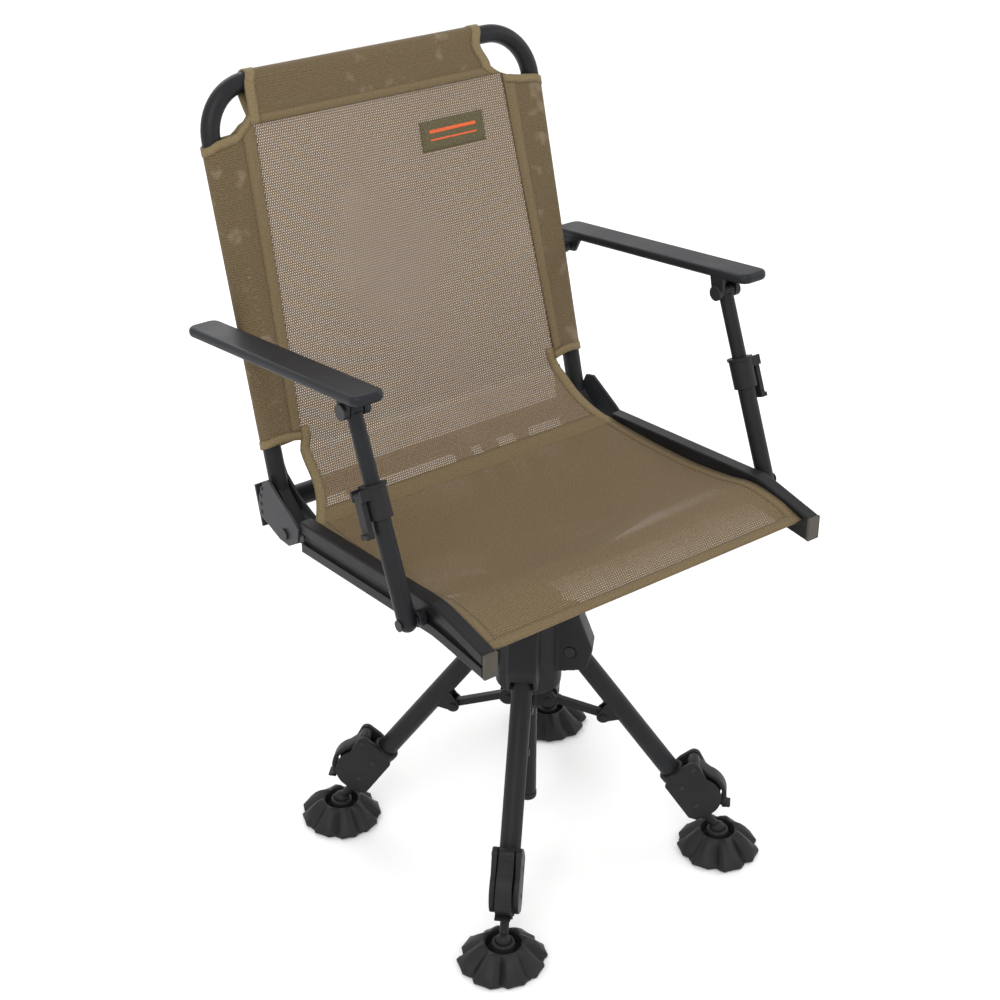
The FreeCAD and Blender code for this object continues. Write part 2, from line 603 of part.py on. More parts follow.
def seat_rails():
    for side, name in ((-1, "left"), (1, "right")):
        solid = plate(rail_outline(0), "dim.rail_width", "YZ_Plane", "Rail" + name,
                      round_corners=lambda edge: edge.BoundBox.XLength < 0.1, radius="dim.rail_round")
        solid.Placement = at(side * (size("rail_inner") + size("rail_width") / 2)).multiply(solid.Placement)
        groove = plate(rail_outline(size("rail_height") / 2 - size("groove_height")),
                       "2 * dim.groove_depth", "YZ_Plane", "Groove" + name)
        groove.Placement = at(side * (size("rail_inner") + size("rail_width"))).multiply(groove.Placement)
        keep(cut(solid, [groove], "SeatRail" + name), "seat_rail_" + name)


def rail_end_plugs():
    plugs = []
    for side in (-1, 1):
        place = at(side * (size("rail_inner") + size("rail_width") / 2), size("rail_front"),
                   size("rail_front_middle"), ALONG_X, 90)
        plugs.append(box("dim.rail_width - 1", "dim.rail_front_height - 1", "dim.plug_thickness", place))
    keep(group(plugs, "RailEndPlugs"), "rail_end_plugs")


def seat_sling():
    middle = size("sling_middle")
    middle_height = size("sling_middle_height")
    bend = size("rail_bend")
    top = [(size("sling_rear"), size("sling_rear_height")), (middle, middle_height - 1),
           (-middle, middle_height + 1), (bend, size("sling_bend_height")),
           (bend - 45, size("sling_bend_height") - 4),
           (size("rail_front") + 8, size("sling_front_height"))]
    under = [(y, z - size("sling_thickness")) for y, z in reversed(top)]
    keep(plate(top + under, "2 * dim.seat_sling_half", "YZ_Plane", "SeatSling"), "seat_sling")


# The leaf-shaped cheek that shows outside each back tube, and the longer one inside it.
outer_cheek = [(190.7, 515), (203, 490), (203.4, 465), (188.2, 460.8), (160, 451), (140, 450.5),
               (119.8, 463), (116.7, 481.8), (131.5, 491.9), (159.9, 508.4), (176.6, 518)]
inner_cheek = [(218, 528), (210, 482), (196, 446), (184, 430), (172, 428), (112, 452), (108, 462),
               (122, 474), (168, 492), (196, 512), (208, 532)]


def hinge_brackets():
    """A stamped channel each side: two cheeks and a rear web that the back rests against."""
    for side, name in ((-1, "left"), (1, "right")):
        parts = []
        for face, outline in (("hinge_plate_outer", outer_cheek), ("hinge_plate_inner", inner_cheek)):
            cheek = plate(outline, "dim.hinge_plate_thickness", "YZ_Plane", "Cheek")
            across = side * (size(face) + size("hinge_plate_thickness") / 2)
            cheek.Placement = at(across).multiply(cheek.Placement)
            parts.append(cheek)
        middle = side * (size("hinge_plate_outer") + size("hinge_plate_inner")
                         + size("hinge_plate_thickness")) / 2
        parts.append(box("dim.hinge_plate_outer - dim.hinge_plate_inner", "dim.hinge_plate_thickness",
                         "dim.hinge_web_height",
                         at(middle, size("hinge_web_depth"), size("hinge_web_bottom"), ALONG_X,
                            -size("hinge_web_lean"))))
        hole = cylinder("dim.hinge_bolt_radius", "3 * (dim.hinge_plate_outer - dim.hinge_plate_inner)",
                        at(middle - 50, size("hinge_depth"), size("hinge_height"), ALONG_Y, 90))
        pocket = cylinder("dim.crossbar_radius", "dim.hinge_plate_inner",
                          at(-size("hinge_plate_inner") if side < 0 else 0, size("crossbar_depth"),
                             size("crossbar_height"), ALONG_Y, 90))
        keep(cut(join(parts), [hole, pocket], "HingeBracket" + name), "hinge_bracket_" + name)


def side_rod(side, start, end, depth, height, radius):
    """A cylinder along X between two distances from the middle of the chair."""
    return cylinder(radius, f"{end - start}", at(side * start, depth, height, ALONG_Y, 90 * side))


def hinge_bolts():
    bolts = []
    depth = size("hinge_depth")
    height = size("hinge_height")
    inner = size("hinge_plate_inner")
    outer = size("hinge_plate_outer") + size("hinge_plate_thickness")
    cap = size("side_bolt_head_height")
    for side in (-1, 1):
        shank = side_rod(side, inner, outer, depth, height, "dim.hinge_bolt_radius")
        caps = [side_rod(side, inner - cap, inner, depth, height, "dim.hinge_bolt_head"),
                side_rod(side, outer, outer + cap, depth, height, "dim.hinge_bolt_head")]
        bolts.append(join([shank] + caps, "HingeBolt"))
    keep(group(bolts, "HingeBolts"), "hinge_bolts")


def arm_base_bolts():
    """A spacer on each rail with the bolt that an arm post swings on."""
    bolts = []
    depth = size("arm_base_depth")
    height = size("arm_base_height")
    start = size("rail_inner") + size("rail_width")
    near = size("arm_side") - size("arm_lower_radius") - size("arm_bolt_gap")
    far = size("arm_side") + size("arm_lower_radius") + size("arm_bolt_gap")
    for side in (-1, 1):
        spacer = side_rod(side, start, near, depth, height, "dim.arm_spacer_radius")
        shank = side_rod(side, start, far, depth, height, "dim.arm_bolt_radius")
        cap = side_rod(side, far, far + size("arm_base_cap_height"), depth, height,
                       "dim.arm_base_cap_radius")
        bolts.append(join([spacer, shank, cap], "ArmBaseBolt"))
    keep(group(bolts, "ArmBaseBolts"), "arm_base_bolts")


# ---- folding back --------------------------------------------------------------------------

# In the back's own frame Z runs up the reclined tubes, Y is behind them, and X is across.
back_place = at(0, size("hinge_depth"), size("hinge_height"), ALONG_X, -size("recline"))


def back_path(body):
    """The middle line of the bent back tube: two uprights, two round corners and a top bar."""
    half = size("back_half")
    bottom = size("back_tube_bottom")
    top = size("back_tube_top")
    corner = size("back_corner")
    slant = math.sqrt(0.5) * corner
    lower_left, upper_left = Vector(-half, bottom, 0), Vector(-half, top - corner, 0)
    lower_right, upper_right = Vector(half, bottom, 0), Vector(half, top - corner, 0)
    bar_left, bar_right = Vector(-half + corner, top, 0), Vector(half - corner, top, 0)
    turn_left = Vector(-half + corner - slant, top - corner + slant, 0)
    turn_right = Vector(half - corner + slant, top - corner + slant, 0)
    path = sketch_on(body, "XZ_Plane", "BackPath")
    path.addGeometry(Part.LineSegment(lower_left, upper_left), False)
    path.addGeometry(Part.Arc(upper_left, turn_left, bar_left), False)
    path.addGeometry(Part.LineSegment(bar_left, bar_right), False)
    path.addGeometry(Part.Arc(bar_right, turn_right, upper_right), False)
    path.addGeometry(Part.LineSegment(upper_right, lower_right), False)
    return path


def back_tube():
    body = doc.addObject("PartDesign::Body", "BackTube")
    path = back_path(body)
    ring = sketch_on(body, "XY_Plane", "BackRing")
    ring.AttachmentOffset = at(z=size("back_tube_bottom"))
    for reach in (size("back_tube_radius"), size("back_tube_radius") - size("back_tube_wall")):
        ring.addGeometry(Part.Circle(Vector(-size("back_half"), 0, 0), UP, reach), False)
    sweep = body.newObject("PartDesign::AdditivePipe", "BackSweep")
    sweep.Profile = ring
    sweep.Spine = path
    doc.recompute()
    body.Placement = at(0, size("back_tube_setback"), 0)
    return body


def rivet_shanks():
    """Pairs of rivets that hold each hinge ear in the lower end of its back tube."""
    shanks = []
    across = size("back_half") + size("back_tube_radius") - size("rivet_sink")
    for side in (-1, 1):
        for up in ("lower_rivet", "upper_rivet"):
            shanks.append(cylinder("dim.rivet_radius", "dim.rivet_height",
                                   at(side * across, size("back_tube_setback"), size(up),
                                      ALONG_Y, 90 * side)))
    return shanks


def back_frame():
    half = size("back_half")
    bottom = size("back_tube_bottom")
    ear_top = size("back_ear_top")
    setback = size("back_tube_setback")
    stud_height = pad_rear_in_back()
    parts = [back_tube()]
    holes = rivet_shanks()
    for side in (-1, 1):
        outline = disc_points(0, 0, size("hinge_ear_radius"), 150, 330, 10)
        outline += [(setback - 4, bottom - 2), (setback + 8, bottom + 4), (setback + 8, ear_top),
                    (setback - 8, ear_top)]
        ear = plate(outline, "dim.back_ear_width", "YZ_Plane", "BackEar")
        ear.Placement = at(side * half).multiply(ear.Placement)
        holes.append(cylinder("dim.hinge_bolt_radius + dim.pin_gap", "3 * dim.back_ear_width",
                              at(side * half - 20, 0, 0, ALONG_Y, 90)))
        parts += [ear,
                  side_rod(side, half, size("pad_inner") - 0.35, setback, stud_height, "dim.stud_radius"),
                  side_rod(side, half, half + size("stud_boss_reach"), setback, stud_height,
                           "dim.stud_boss_radius")]
    keep(cut(join(parts, "BackSolid"), holes, "BackFrame"), "back_frame", back_place)


def pad_rear_in_back():
    """How far up the back tube the rear arm-pad stud stands: the arm's linkage is a parallelogram."""
    depth = size("arm_top_depth") - size("arm_base_depth")
    height = size("arm_top_height") - size("arm_base_height")
    return math.hypot(depth, height) * math.cos(math.atan2(depth, height)
                                                - math.radians(size("recline")))


def back_sling():
    half = size("back_sling_half")
    top_half = size("back_sling_top_half")
    bottom = size("back_sling_bottom")
    shoulder = size("back_sling_shoulder")
    top = size("back_sling_top")
    outline = [(-half, bottom), (half, bottom), (half, shoulder), (top_half, top), (-top_half, top),
               (-half, shoulder)]
    panel = plate(outline, "dim.sling_thickness", name="BackSling")
    panel.Placement = at(0, size("back_sling_front"), 0).multiply(panel.Placement)
    keep(panel, "back_sling", back_place)


def back_rivets():
    keep(group(rivet_shanks(), "BackRivets"), "back_rivets", back_place)


# ---- arms ------------------------------------------------------------------------------------

arm_lean = math.degrees(math.atan2(size("arm_top_depth") - size("arm_base_depth"),
                                   size("arm_top_height") - size("arm_base_height")))
arm_length = math.hypot(size("arm_top_depth") - size("arm_base_depth"),
                        size("arm_top_height") - size("arm_base_height"))


def arm(side, name):
    # Along an arm post Z runs up the tube from its lower bolt and X is across the chair.
    post = at(side * size("arm_side"), size("arm_base_depth"), size("arm_base_height"), ALONG_X, -arm_lean)
    across = at(0, 0, 0, UP, 90)
    eye = at(0, 0, arm_length)
    bolt_hole = ("dim.arm_bolt_radius + dim.pin_gap", "6 * dim.arm_lower_radius")
    lower = cut(join([cylinder("dim.arm_lower_radius", "dim.arm_lower_top", at()),
                      ball("dim.arm_lower_radius", at())]),
                [cylinder("dim.arm_lower_radius - dim.arm_tube_wall", "dim.arm_lower_top", at(z=20)),
                 cross_pin(*bolt_hole, across)], "ArmLower" + name)
    keep(lower, "arm_post_lower_" + name, post)
    start = at(z=size("arm_upper_bottom"))
    upper = cut(join([cylinder("dim.arm_upper_radius", f"{arm_length} - dim.arm_upper_bottom - 5", start),
                      cross_pin("dim.arm_eye_radius", "dim.arm_eye_width", eye.multiply(across))]),
                [cylinder("dim.arm_upper_radius - dim.arm_tube_wall",
                          f"{arm_length} - dim.arm_upper_bottom - 20", start),
                 cross_pin(*bolt_hole, eye.multiply(across))],
                "ArmUpper" + name)
    keep(upper, "arm_post_upper_" + name, post)
    arm_clamp(side, name, post)
    arm_lever(side, name, post)
    keep(arm_pivot_bolt(name, across), "arm_pivot_bolt_" + name, post.multiply(eye))
    arm_pad(side, name)


def arm_pivot_bolt(name, across):
    """The bolt through a pad's two ears, with a wide flat cap against each of them."""
    cap = size("arm_bolt_head_height")
    face = size("pad_ear_gap") / 2 + size("pad_ear_thickness") + size("pin_gap")
    parts = [cross_pin("dim.arm_bolt_radius", f"{2 * face + cap}", across)]
    for side in (-1, 1):
        parts.append(cross_pin("dim.arm_bolt_head_radius", "dim.arm_bolt_head_height",
                               at(side * (face + cap / 2)).multiply(across)))
    return join(parts, "ArmPivotBolt" + name)


def arm_clamp(side, name, post):
    bottom = size("arm_clamp_bottom")
    top = size("arm_clamp_top")
    reach = size("arm_clamp_radius")
    cheek = size("arm_cheek_length")
    parts = [cylinder("dim.arm_clamp_radius", "dim.arm_clamp_top - dim.arm_clamp_bottom", at(z=bottom)),
             cylinder("dim.arm_clamp_radius + 1.5", "dim.arm_rim_height",
                      at(z=top - size("arm_rim_height")))]
    for offset in (-1, 1):
        parts.append(box("dim.arm_cheek_length", "dim.arm_cheek_width", "dim.arm_cheek_height",
                         at(side * (reach + 0.5), offset * size("arm_cheek_offset"),
                            top - size("arm_cheek_height") - 2)))
    hollows = [cylinder("dim.arm_lower_radius", "dim.arm_lower_top - 90", at(z=90)),
               cylinder("dim.arm_upper_radius + dim.slide_gap", "2 * dim.arm_clamp_top", at()),
               cross_pin("dim.arm_lever_pin", "3 * dim.arm_clamp_radius",
                         at(side * size("arm_lever_out"), 0, top - size("arm_lever_drop"))),
               box("10", "2 * dim.arm_cheek_offset - dim.arm_cheek_width", "dim.arm_cheek_length + 4",
                   at(side * (reach + 3.5), 0, top - cheek))]
    keep(cut(join(parts), hollows, "ArmClamp" + name), "arm_clamp_" + name, post)


def arm_lever(side, name, post):
    out = side * size("arm_lever_out")
    pivot = size("arm_clamp_top") - size("arm_lever_drop")
    length = size("arm_lever_length")
    bar = box("dim.arm_lever_thickness", "dim.arm_lever_width", "dim.arm_lever_length",
              at(out, 0, pivot - length))
    tip = box("dim.arm_lever_thickness + 3", "dim.arm_lever_width", "dim.arm_lever_tip",
              at(out + side * 1.5, 0, pivot - length))
    eye = cross_pin("dim.arm_lever_thickness / 2 + 0.4", "dim.arm_lever_width", at(out, 0, pivot))
    pin = cross_pin("dim.arm_lever_pin - dim.pin_gap",
                    "2 * dim.arm_cheek_offset + dim.arm_cheek_width", at(out, 0, pivot))
    keep(join([bar, tip, eye, pin], "ArmLever" + name), "arm_lever_" + name, post)


def rounded_slab(side, name):
    """The top of an arm pad: a slab with round corners and softened edges."""
    middle = side * (size("pad_inner") + size("pad_width") / 2)
    slab = box("dim.pad_width", "dim.pad_length", "dim.pad_thickness",
               at(middle, size("pad_length") / 2 - size("pad_front"), size("pad_rise")))
    doc.recompute()
    ends = doc.addObject("Part::Fillet", "PadEnds" + name)
    ends.Base = slab
    corner = size("pad_corner")
    ends.Edges = [(number, corner, corner) for number, edge in enumerate(slab.Shape.Edges, start=1)
                  if edge.BoundBox.ZLength > 5]
    doc.recompute()
    rounded = doc.addObject("Part::Fillet", "PadRound" + name)
    rounded.Base = ends
    soft = size("pad_round")
    rounded.Edges = [(number, soft, soft) for number, edge in enumerate(ends.Shape.Edges, start=1)
                     if edge.BoundBox.ZLength < 0.1]
    return rounded


def arm_pad(side, name):
    # In the pad's own frame Y runs back along it and Z is square to its top.
    place = at(0, size("arm_top_depth"), size("arm_top_height"), ALONG_X, -size("pad_slope"))
    parts = [rounded_slab(side, name)]
    pivot_x = side * size("arm_side")
    under = size("pad_rise") + 3
    ear_outline = [(-11, under)] + disc_points(0, 0, size("pad_ear_radius"), 195, 345, 8) + [(11, under)]
    offset = (size("pad_ear_gap") + size("pad_ear_thickness")) / 2
    for ear_side in (-1, 1):
        ear = plate(ear_outline, "dim.pad_ear_thickness", "YZ_Plane", "PadEar")
        ear.Placement = at(pivot_x + ear_side * offset).multiply(ear.Placement)
        parts.append(ear)
    hole = cross_pin("dim.arm_bolt_radius + dim.pin_gap", "4 * dim.pad_ear_gap",
                     at(pivot_x, 0, 0, UP, 90))
    rear = place.inverse().multVec(rear_pad_pivot())
    lug = plate([(rear.y - 20, under - 1), (rear.y - 9, rear.z - 7), (rear.y + 6, rear.z - 8),
                 (rear.y + 16, under - 1)], "dim.pad_lug_thickness", "YZ_Plane", "PadLug")
    lug.Placement = at(side * (size("pad_inner") + size("pad_lug_thickness") / 2)).multiply(lug.Placement)
    parts.append(lug)
    keep(cut(join(parts), [hole], "ArmPad" + name), "arm_pad_" + name, place)


def rear_pad_pivot():
    """The fourth corner of the arm's parallelogram: hinge, lower bolt, upper bolt and this stud."""
    return Vector(0, size("hinge_depth") + size("arm_top_depth") - size("arm_base_depth"),
                  size("hinge_height") + size("arm_top_height") - size("arm_base_height"))


# ---- build ---------------------------------------------------------------------------------

leg_hub()
centre_post()
post_cap()
leg_pivot_bolts()
swivel_spindle()
slide_collar()
for leg, leg_turn in leg_turns.items():
    along_leg = leg_turn.multiply(leg_frame)
    link(leg, leg_turn)
    leg_tube(leg, along_leg)
    leg_clamp(leg, along_leg)
    leg_lever(leg, along_leg)
    inner_leg(leg, along_leg)
    ball_joint(leg, leg_turn)
    foot(leg, leg_turn)
swivel_housing()
seat_support()
rear_crossbar()
seat_rails()
rail_end_plugs()
seat_sling()
hinge_brackets()
hinge_bolts()
arm_base_bolts()
back_frame()
back_sling()
back_rivets()
arm(-1, "left")
arm(1, "right")

doc.recompute()
for item in doc.Objects:
    if "Invalid" in item.State or "Error" in item.State:
        raise RuntimeError(f"{item.Name} ({item.Label}) is {item.State}")
os.makedirs("parts", exist_ok=True)
for node in nodes:
    if node.Shape.isNull() or not node.Shape.isValid():
        raise RuntimeError(f"{node.Label} has no valid shape")
    node.Shape.exportStep(f"parts/{node.Label}.step")
print(len(nodes), "sub-parts written")
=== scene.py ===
import json
import math
import random

import bmesh
import bpy
from mathutils import Matrix, Vector, noise


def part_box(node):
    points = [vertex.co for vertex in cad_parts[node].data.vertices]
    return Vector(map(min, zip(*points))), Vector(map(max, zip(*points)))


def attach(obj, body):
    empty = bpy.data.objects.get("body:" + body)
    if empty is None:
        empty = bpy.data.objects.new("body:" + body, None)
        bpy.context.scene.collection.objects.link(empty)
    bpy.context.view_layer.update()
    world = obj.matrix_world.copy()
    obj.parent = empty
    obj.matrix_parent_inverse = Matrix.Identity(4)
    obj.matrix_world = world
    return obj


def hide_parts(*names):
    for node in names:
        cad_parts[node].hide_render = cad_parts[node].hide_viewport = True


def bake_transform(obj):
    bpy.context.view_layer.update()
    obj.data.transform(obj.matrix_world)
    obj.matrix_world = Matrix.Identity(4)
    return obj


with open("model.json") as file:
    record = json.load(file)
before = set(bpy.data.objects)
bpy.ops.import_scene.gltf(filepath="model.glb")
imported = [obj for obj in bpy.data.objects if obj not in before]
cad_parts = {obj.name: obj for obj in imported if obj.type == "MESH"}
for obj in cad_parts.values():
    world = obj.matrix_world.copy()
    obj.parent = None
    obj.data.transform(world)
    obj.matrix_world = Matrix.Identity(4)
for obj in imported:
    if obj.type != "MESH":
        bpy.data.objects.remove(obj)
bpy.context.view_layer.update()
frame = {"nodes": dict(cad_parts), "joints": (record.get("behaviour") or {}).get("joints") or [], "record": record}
scene = bpy.context.scene
joints = {joint["name"]: joint for joint in frame["joints"]}
print("frame loaded:", len(frame["nodes"]), "nodes")


# a point on the reclined back: x across, up along the tubes, behind square to them
backFrame = {"hinge": Vector(joints["back_fold"]["pos_m"]), "angle": 14.6}


def onBack(x, up, behind):
    turn = math.radians(backFrame["angle"])
    hinge = backFrame["hinge"]
    return Vector((x,
                   hinge.y + up * math.sin(turn) + behind * math.cos(turn),
                   hinge.z + up * math.cos(turn) - behind * math.sin(turn)))


def backNormal():
    turn = math.radians(backFrame["angle"])
    return Vector((0, -math.cos(turn), math.sin(turn)))  # out of the front of the back


def meshPiece(name, points, faces, materials=()):
    mesh = bpy.data.meshes.new(name)
    mesh.from_pydata([tuple(point) for point in points], [], faces)
    mesh.update()
    piece = bpy.data.objects.new(name, mesh)
    scene.collection.objects.link(piece)
    for material in materials:
        mesh.materials.append(material)
    return piece


def shadeSmooth(piece, angle=None):
    for polygon in piece.data.polygons:
        polygon.use_smooth = True
    if angle is not None:
        piece.data.set_sharp_from_angle(angle=math.radians(angle))


def settle(piece):
    # modifiers become plain mesh
    depsgraph = bpy.context.evaluated_depsgraph_get()
    finished = bpy.data.meshes.new_from_object(piece.evaluated_get(depsgraph))
    piece.modifiers.clear()
    spare = piece.data
    piece.data = finished
    if isinstance(spare, bpy.types.Mesh) and spare.users == 0:
        bpy.data.meshes.remove(spare)
    return piece


def gridPiece(name, rows, uv, material):
    # rows of points, with a UV in metres for each, as one sheet of quads
    columns = len(rows[0])
    points = [point for row in rows for point in row]
    flat = [pair for row in uv for pair in row]
    faces = []
    for i in range(len(rows) - 1):
        for j in range(i * columns, (i + 1) * columns - 1):
            faces.append((j, j + 1, j + columns + 1, j + columns))
    piece = meshPiece(name, points, faces, [material])
    layer = piece.data.uv_layers.new(name="UVMap")
    for loop in piece.data.loops:
        layer.data[loop.index].uv = flat[loop.vertex_index]
    return piece


def thicken(piece, thickness):
    solid = piece.modifiers.new("Thickness", "SOLIDIFY")
    solid.thickness = thickness
    solid.offset = 0.0
    solid.use_even_offset = True
    return settle(piece)


def smoothCurve(points, count):
    # even points along a Catmull-Rom curve through the given ones
    padded = [points[0] * 2 - points[1]] + list(points) + [points[-1] * 2 - points[-2]]
    fine = []
    for i in range(1, len(padded) - 2):
        a, b, c, d = padded[i - 1:i + 3]
        for step in range(24):
            t = step / 24
            fine.append(0.5 * (2 * b + (c - a) * t + (2 * a - 5 * b + 4 * c - d) * t ** 2
                               + (3 * b - a - 3 * c + d) * t ** 3))
    fine.append(padded[-2].copy())
    return evenly(fine, count)


def evenly(points, count):
    lengths = [0.0]
    for a, b in zip(points, points[1:]):
        lengths.append(lengths[-1] + (b - a).length)
    result = []
    k = 0
    for i in range(count):
        target = lengths[-1] * i / (count - 1)
        while k < len(points) - 2 and lengths[k + 1] < target:
            k += 1
        span = max(lengths[k + 1] - lengths[k], 1e-9)
        result.append(points[k].lerp(points[k + 1], (target - lengths[k]) / span))
    return result


def shaderGroup(name, inputs, outputs):
    group = bpy.data.node_groups.new(name, "ShaderNodeTree")
    for label, kind, value in inputs:
        socket = group.interface.new_socket(label, in_out="INPUT", socket_type=kind)
        if value is not None:
            socket.default_value = value
    for label, kind in outputs:
        group.interface.new_socket(label, in_out="OUTPUT", socket_type=kind)
    given = group.nodes.new("NodeGroupInput")
    wanted = group.nodes.new("NodeGroupOutput")
    return group, given, wanted


def mathNode(tree, operation, a, b=None, clamp=False):
    node = tree.nodes.new("ShaderNodeMath")
    node.operation = operation
    node.use_clamp = clamp
    for socket, value in zip(node.inputs, (a, b)):
        if isinstance(value, bpy.types.NodeSocket):
            tree.links.new(value, socket)
        elif value is not None:
            socket.default_value = value
    return node.outputs[0]


def rangeNode(tree, value, low, high, toLow, toHigh):
    node = tree.nodes.new("ShaderNodeMapRange")
    tree.links.new(value, node.inputs["Value"])
    for name, number in (("From Min", low), ("From Max", high), ("To Min", toLow), ("To Max", toHigh)):
        node.inputs[name].default_value = number
    return node.outputs["Result"]


def noiseNode(tree, vector, scale, detail=2.0, roughness=0.5):
    node = tree.nodes.new("ShaderNodeTexNoise")
    tree.links.new(vector, node.inputs["Vector"])
    if isinstance(scale, bpy.types.NodeSocket):
        tree.links.new(scale, node.inputs["Scale"])
    else:
        node.inputs["Scale"].default_value = scale
    node.inputs["Detail"].default_value = detail
    node.inputs["Roughness"].default_value = roughness
    return node.outputs["Fac"]


def makeGrain():
    # fine bumps of a powder coat or a moulded texture, with slow patches
    group, given, wanted = shaderGroup("coatGrain", [
        ("Vector", "NodeSocketVector", None), ("Fine Scale", "NodeSocketFloat", 1800.0),
        ("Patch Scale", "NodeSocketFloat", 14.0)],
        [("Height", "NodeSocketFloat"), ("Patch", "NodeSocketFloat")])
    fine = noiseNode(group, given.outputs["Vector"], given.outputs["Fine Scale"], 3.0, 0.6)
    patch = noiseNode(group, given.outputs["Vector"], given.outputs["Patch Scale"], 4.0, 0.55)
    group.links.new(fine, wanted.inputs["Height"])
    group.links.new(rangeNode(group, patch, 0.32, 0.68, 0.0, 1.0), wanted.inputs["Patch"])
    return group


def makeEdgeHighlight():
    # painted edge highlight: a lighter colour where a rounded version of the surface turns away from the real one,
    # broken up by noise; the rounded normal goes out too
    group, given, wanted = shaderGroup("edgeHighlightAndRounding", [
        ("Vector", "NodeSocketVector", None), ("Width", "NodeSocketFloat", 0.0012),
        ("Amount", "NodeSocketFloat", 1.0)], [("Mask", "NodeSocketFloat"), ("Normal", "NodeSocketVector")])
    bevel = group.nodes.new("ShaderNodeBevel")
    bevel.samples = 4
    group.links.new(given.outputs["Width"], bevel.inputs["Radius"])
    geometry = group.nodes.new("ShaderNodeNewGeometry")
    dot = group.nodes.new("ShaderNodeVectorMath")
    dot.operation = "DOT_PRODUCT"
    group.links.new(bevel.outputs["Normal"], dot.inputs[0])
    group.links.new(geometry.outputs["Normal"], dot.inputs[1])
    away = rangeNode(group, dot.outputs["Value"], 0.985, 0.8, 0.0, 1.0)
    cloud = noiseNode(group, given.outputs["Vector"], 90.0, 4.0, 0.7)
    broken = rangeNode(group, cloud, 0.42, 0.62, 0.15, 1.0)
    paintedEdgeHighlight = mathNode(group, "MULTIPLY", away, broken)
    group.links.new(bevel.outputs["Normal"], wanted.inputs["Normal"])
    group.links.new(mathNode(group, "MULTIPLY", paintedEdgeHighlight, given.outputs["Amount"], True), wanted.inputs["Mask"])
    return group


weaveSet = {"rowShift": 0.36, "holeSquash": 1.15, "edgeHalf": 0.03, "yarnRise": 0.22}


def makeWeave():
    # a leno mesh: rows of open holes set half a step apart, read in metres of cloth
    group, given, wanted = shaderGroup("meshWeave", [
        ("UV", "NodeSocketVector", None), ("Pitch", "NodeSocketFloat", 0.003),
        ("Open", "NodeSocketFloat", 0.5)],
        [("Cover", "NodeSocketFloat"), ("Height", "NodeSocketFloat"), ("Yarn", "NodeSocketFloat")])
    split = group.nodes.new("ShaderNodeSeparateXYZ")
    group.links.new(given.outputs["UV"], split.inputs[0])
    across = mathNode(group, "DIVIDE", split.outputs["X"], given.outputs["Pitch"])
    along = mathNode(group, "DIVIDE", split.outputs["Y"], given.outputs["Pitch"])
    row = mathNode(group, "FLOOR", along)
    shifted = mathNode(group, "ADD", across, mathNode(group, "MULTIPLY", row, weaveSet["rowShift"]))
    inRow = mathNode(group, "FRACT", along)
    inColumn = mathNode(group, "FRACT", shifted)
    u = mathNode(group, "ABSOLUTE", mathNode(group, "SUBTRACT", inColumn, 0.5))
    v = mathNode(group, "ABSOLUTE", mathNode(group, "SUBTRACT", inRow, 0.5))
    # a rounded hole: the larger of the two distances, softened towards an ellipse
    v = mathNode(group, "MULTIPLY", v, weaveSet["holeSquash"])
    square = mathNode(group, "MAXIMUM", u, v)
    ring = mathNode(group, "SQRT", mathNode(group, "ADD", mathNode(group, "POWER", u, 2.0),
                                            mathNode(group, "POWER", v, 2.0)))
    distance = mathNode(group, "MULTIPLY", mathNode(group, "ADD", square, ring), 0.5)
    half = mathNode(group, "MULTIPLY", given.outputs["Open"], 0.5)
    edge = mathNode(group, "SUBTRACT", distance, half)
    group.links.new(rangeNode(group, edge, -weaveSet["edgeHalf"], weaveSet["edgeHalf"], 0.0, 1.0),
                    wanted.inputs["Cover"])
    group.links.new(rangeNode(group, edge, 0.0, weaveSet["yarnRise"], 0.0, 1.0), wanted.inputs["Height"])
    group.links.new(noiseNode(group, given.outputs["UV"], 420.0, 2.0, 0.6), wanted.inputs["Yarn"])
    return group


def makeDust():
    # pale dust that settles on faces that look up
    group, given, wanted = shaderGroup("settledDust", [
        ("Vector", "NodeSocketVector", None), ("Amount", "NodeSocketFloat", 0.3)],
        [("Mask", "NodeSocketFloat")])
    geometry = group.nodes.new("ShaderNodeNewGeometry")
    split = group.nodes.new("ShaderNodeSeparateXYZ")
    group.links.new(geometry.outputs["Normal"], split.inputs[0])
    up = rangeNode(group, split.outputs["Z"], 0.25, 0.95, 0.0, 1.0)
    cloud = noiseNode(group, given.outputs["Vector"], 26.0, 5.0, 0.65)
    both = mathNode(group, "MULTIPLY", up, rangeNode(group, cloud, 0.4, 0.75, 0.0, 1.0))
    group.links.new(mathNode(group, "MULTIPLY", both, given.outputs["Amount"], True), wanted.inputs["Mask"])
    return group


grainGroup = makeGrain()
edgeHighlightGroup = makeEdgeHighlight()
weaveGroup = makeWeave()
dustGroup = makeDust()


def placeGroup(tree, group, vector, values):
    node = tree.nodes.new("ShaderNodeGroup")
    node.node_tree = group
    tree.links.new(vector, node.inputs[0])
    for name, value in values.items():
        node.inputs[name].default_value = value
    return node


def mixColours(tree, factor, first, second):
    node = tree.nodes.new("ShaderNodeMix")
    node.data_type = "RGBA"
    tree.links.new(factor, node.inputs["Factor"])
    for name, colour in (("A", first), ("B", second)):
        socket = next(item for item in node.inputs if item.name == name and item.type == "RGBA")
        if isinstance(colour, bpy.types.NodeSocket):
            tree.links.new(colour, socket)
        else:
            socket.default_value = (*colour, 1.0)
    return next(item for item in node.outputs if item.type == "RGBA")


def blankMaterial(name):
    material = bpy.data.materials.new(name)
    material.use_nodes = True
    tree = material.node_tree
    shader = tree.nodes["Principled BSDF"]
    place = tree.nodes.new("ShaderNodeTexCoord")
    return material, tree, shader, place


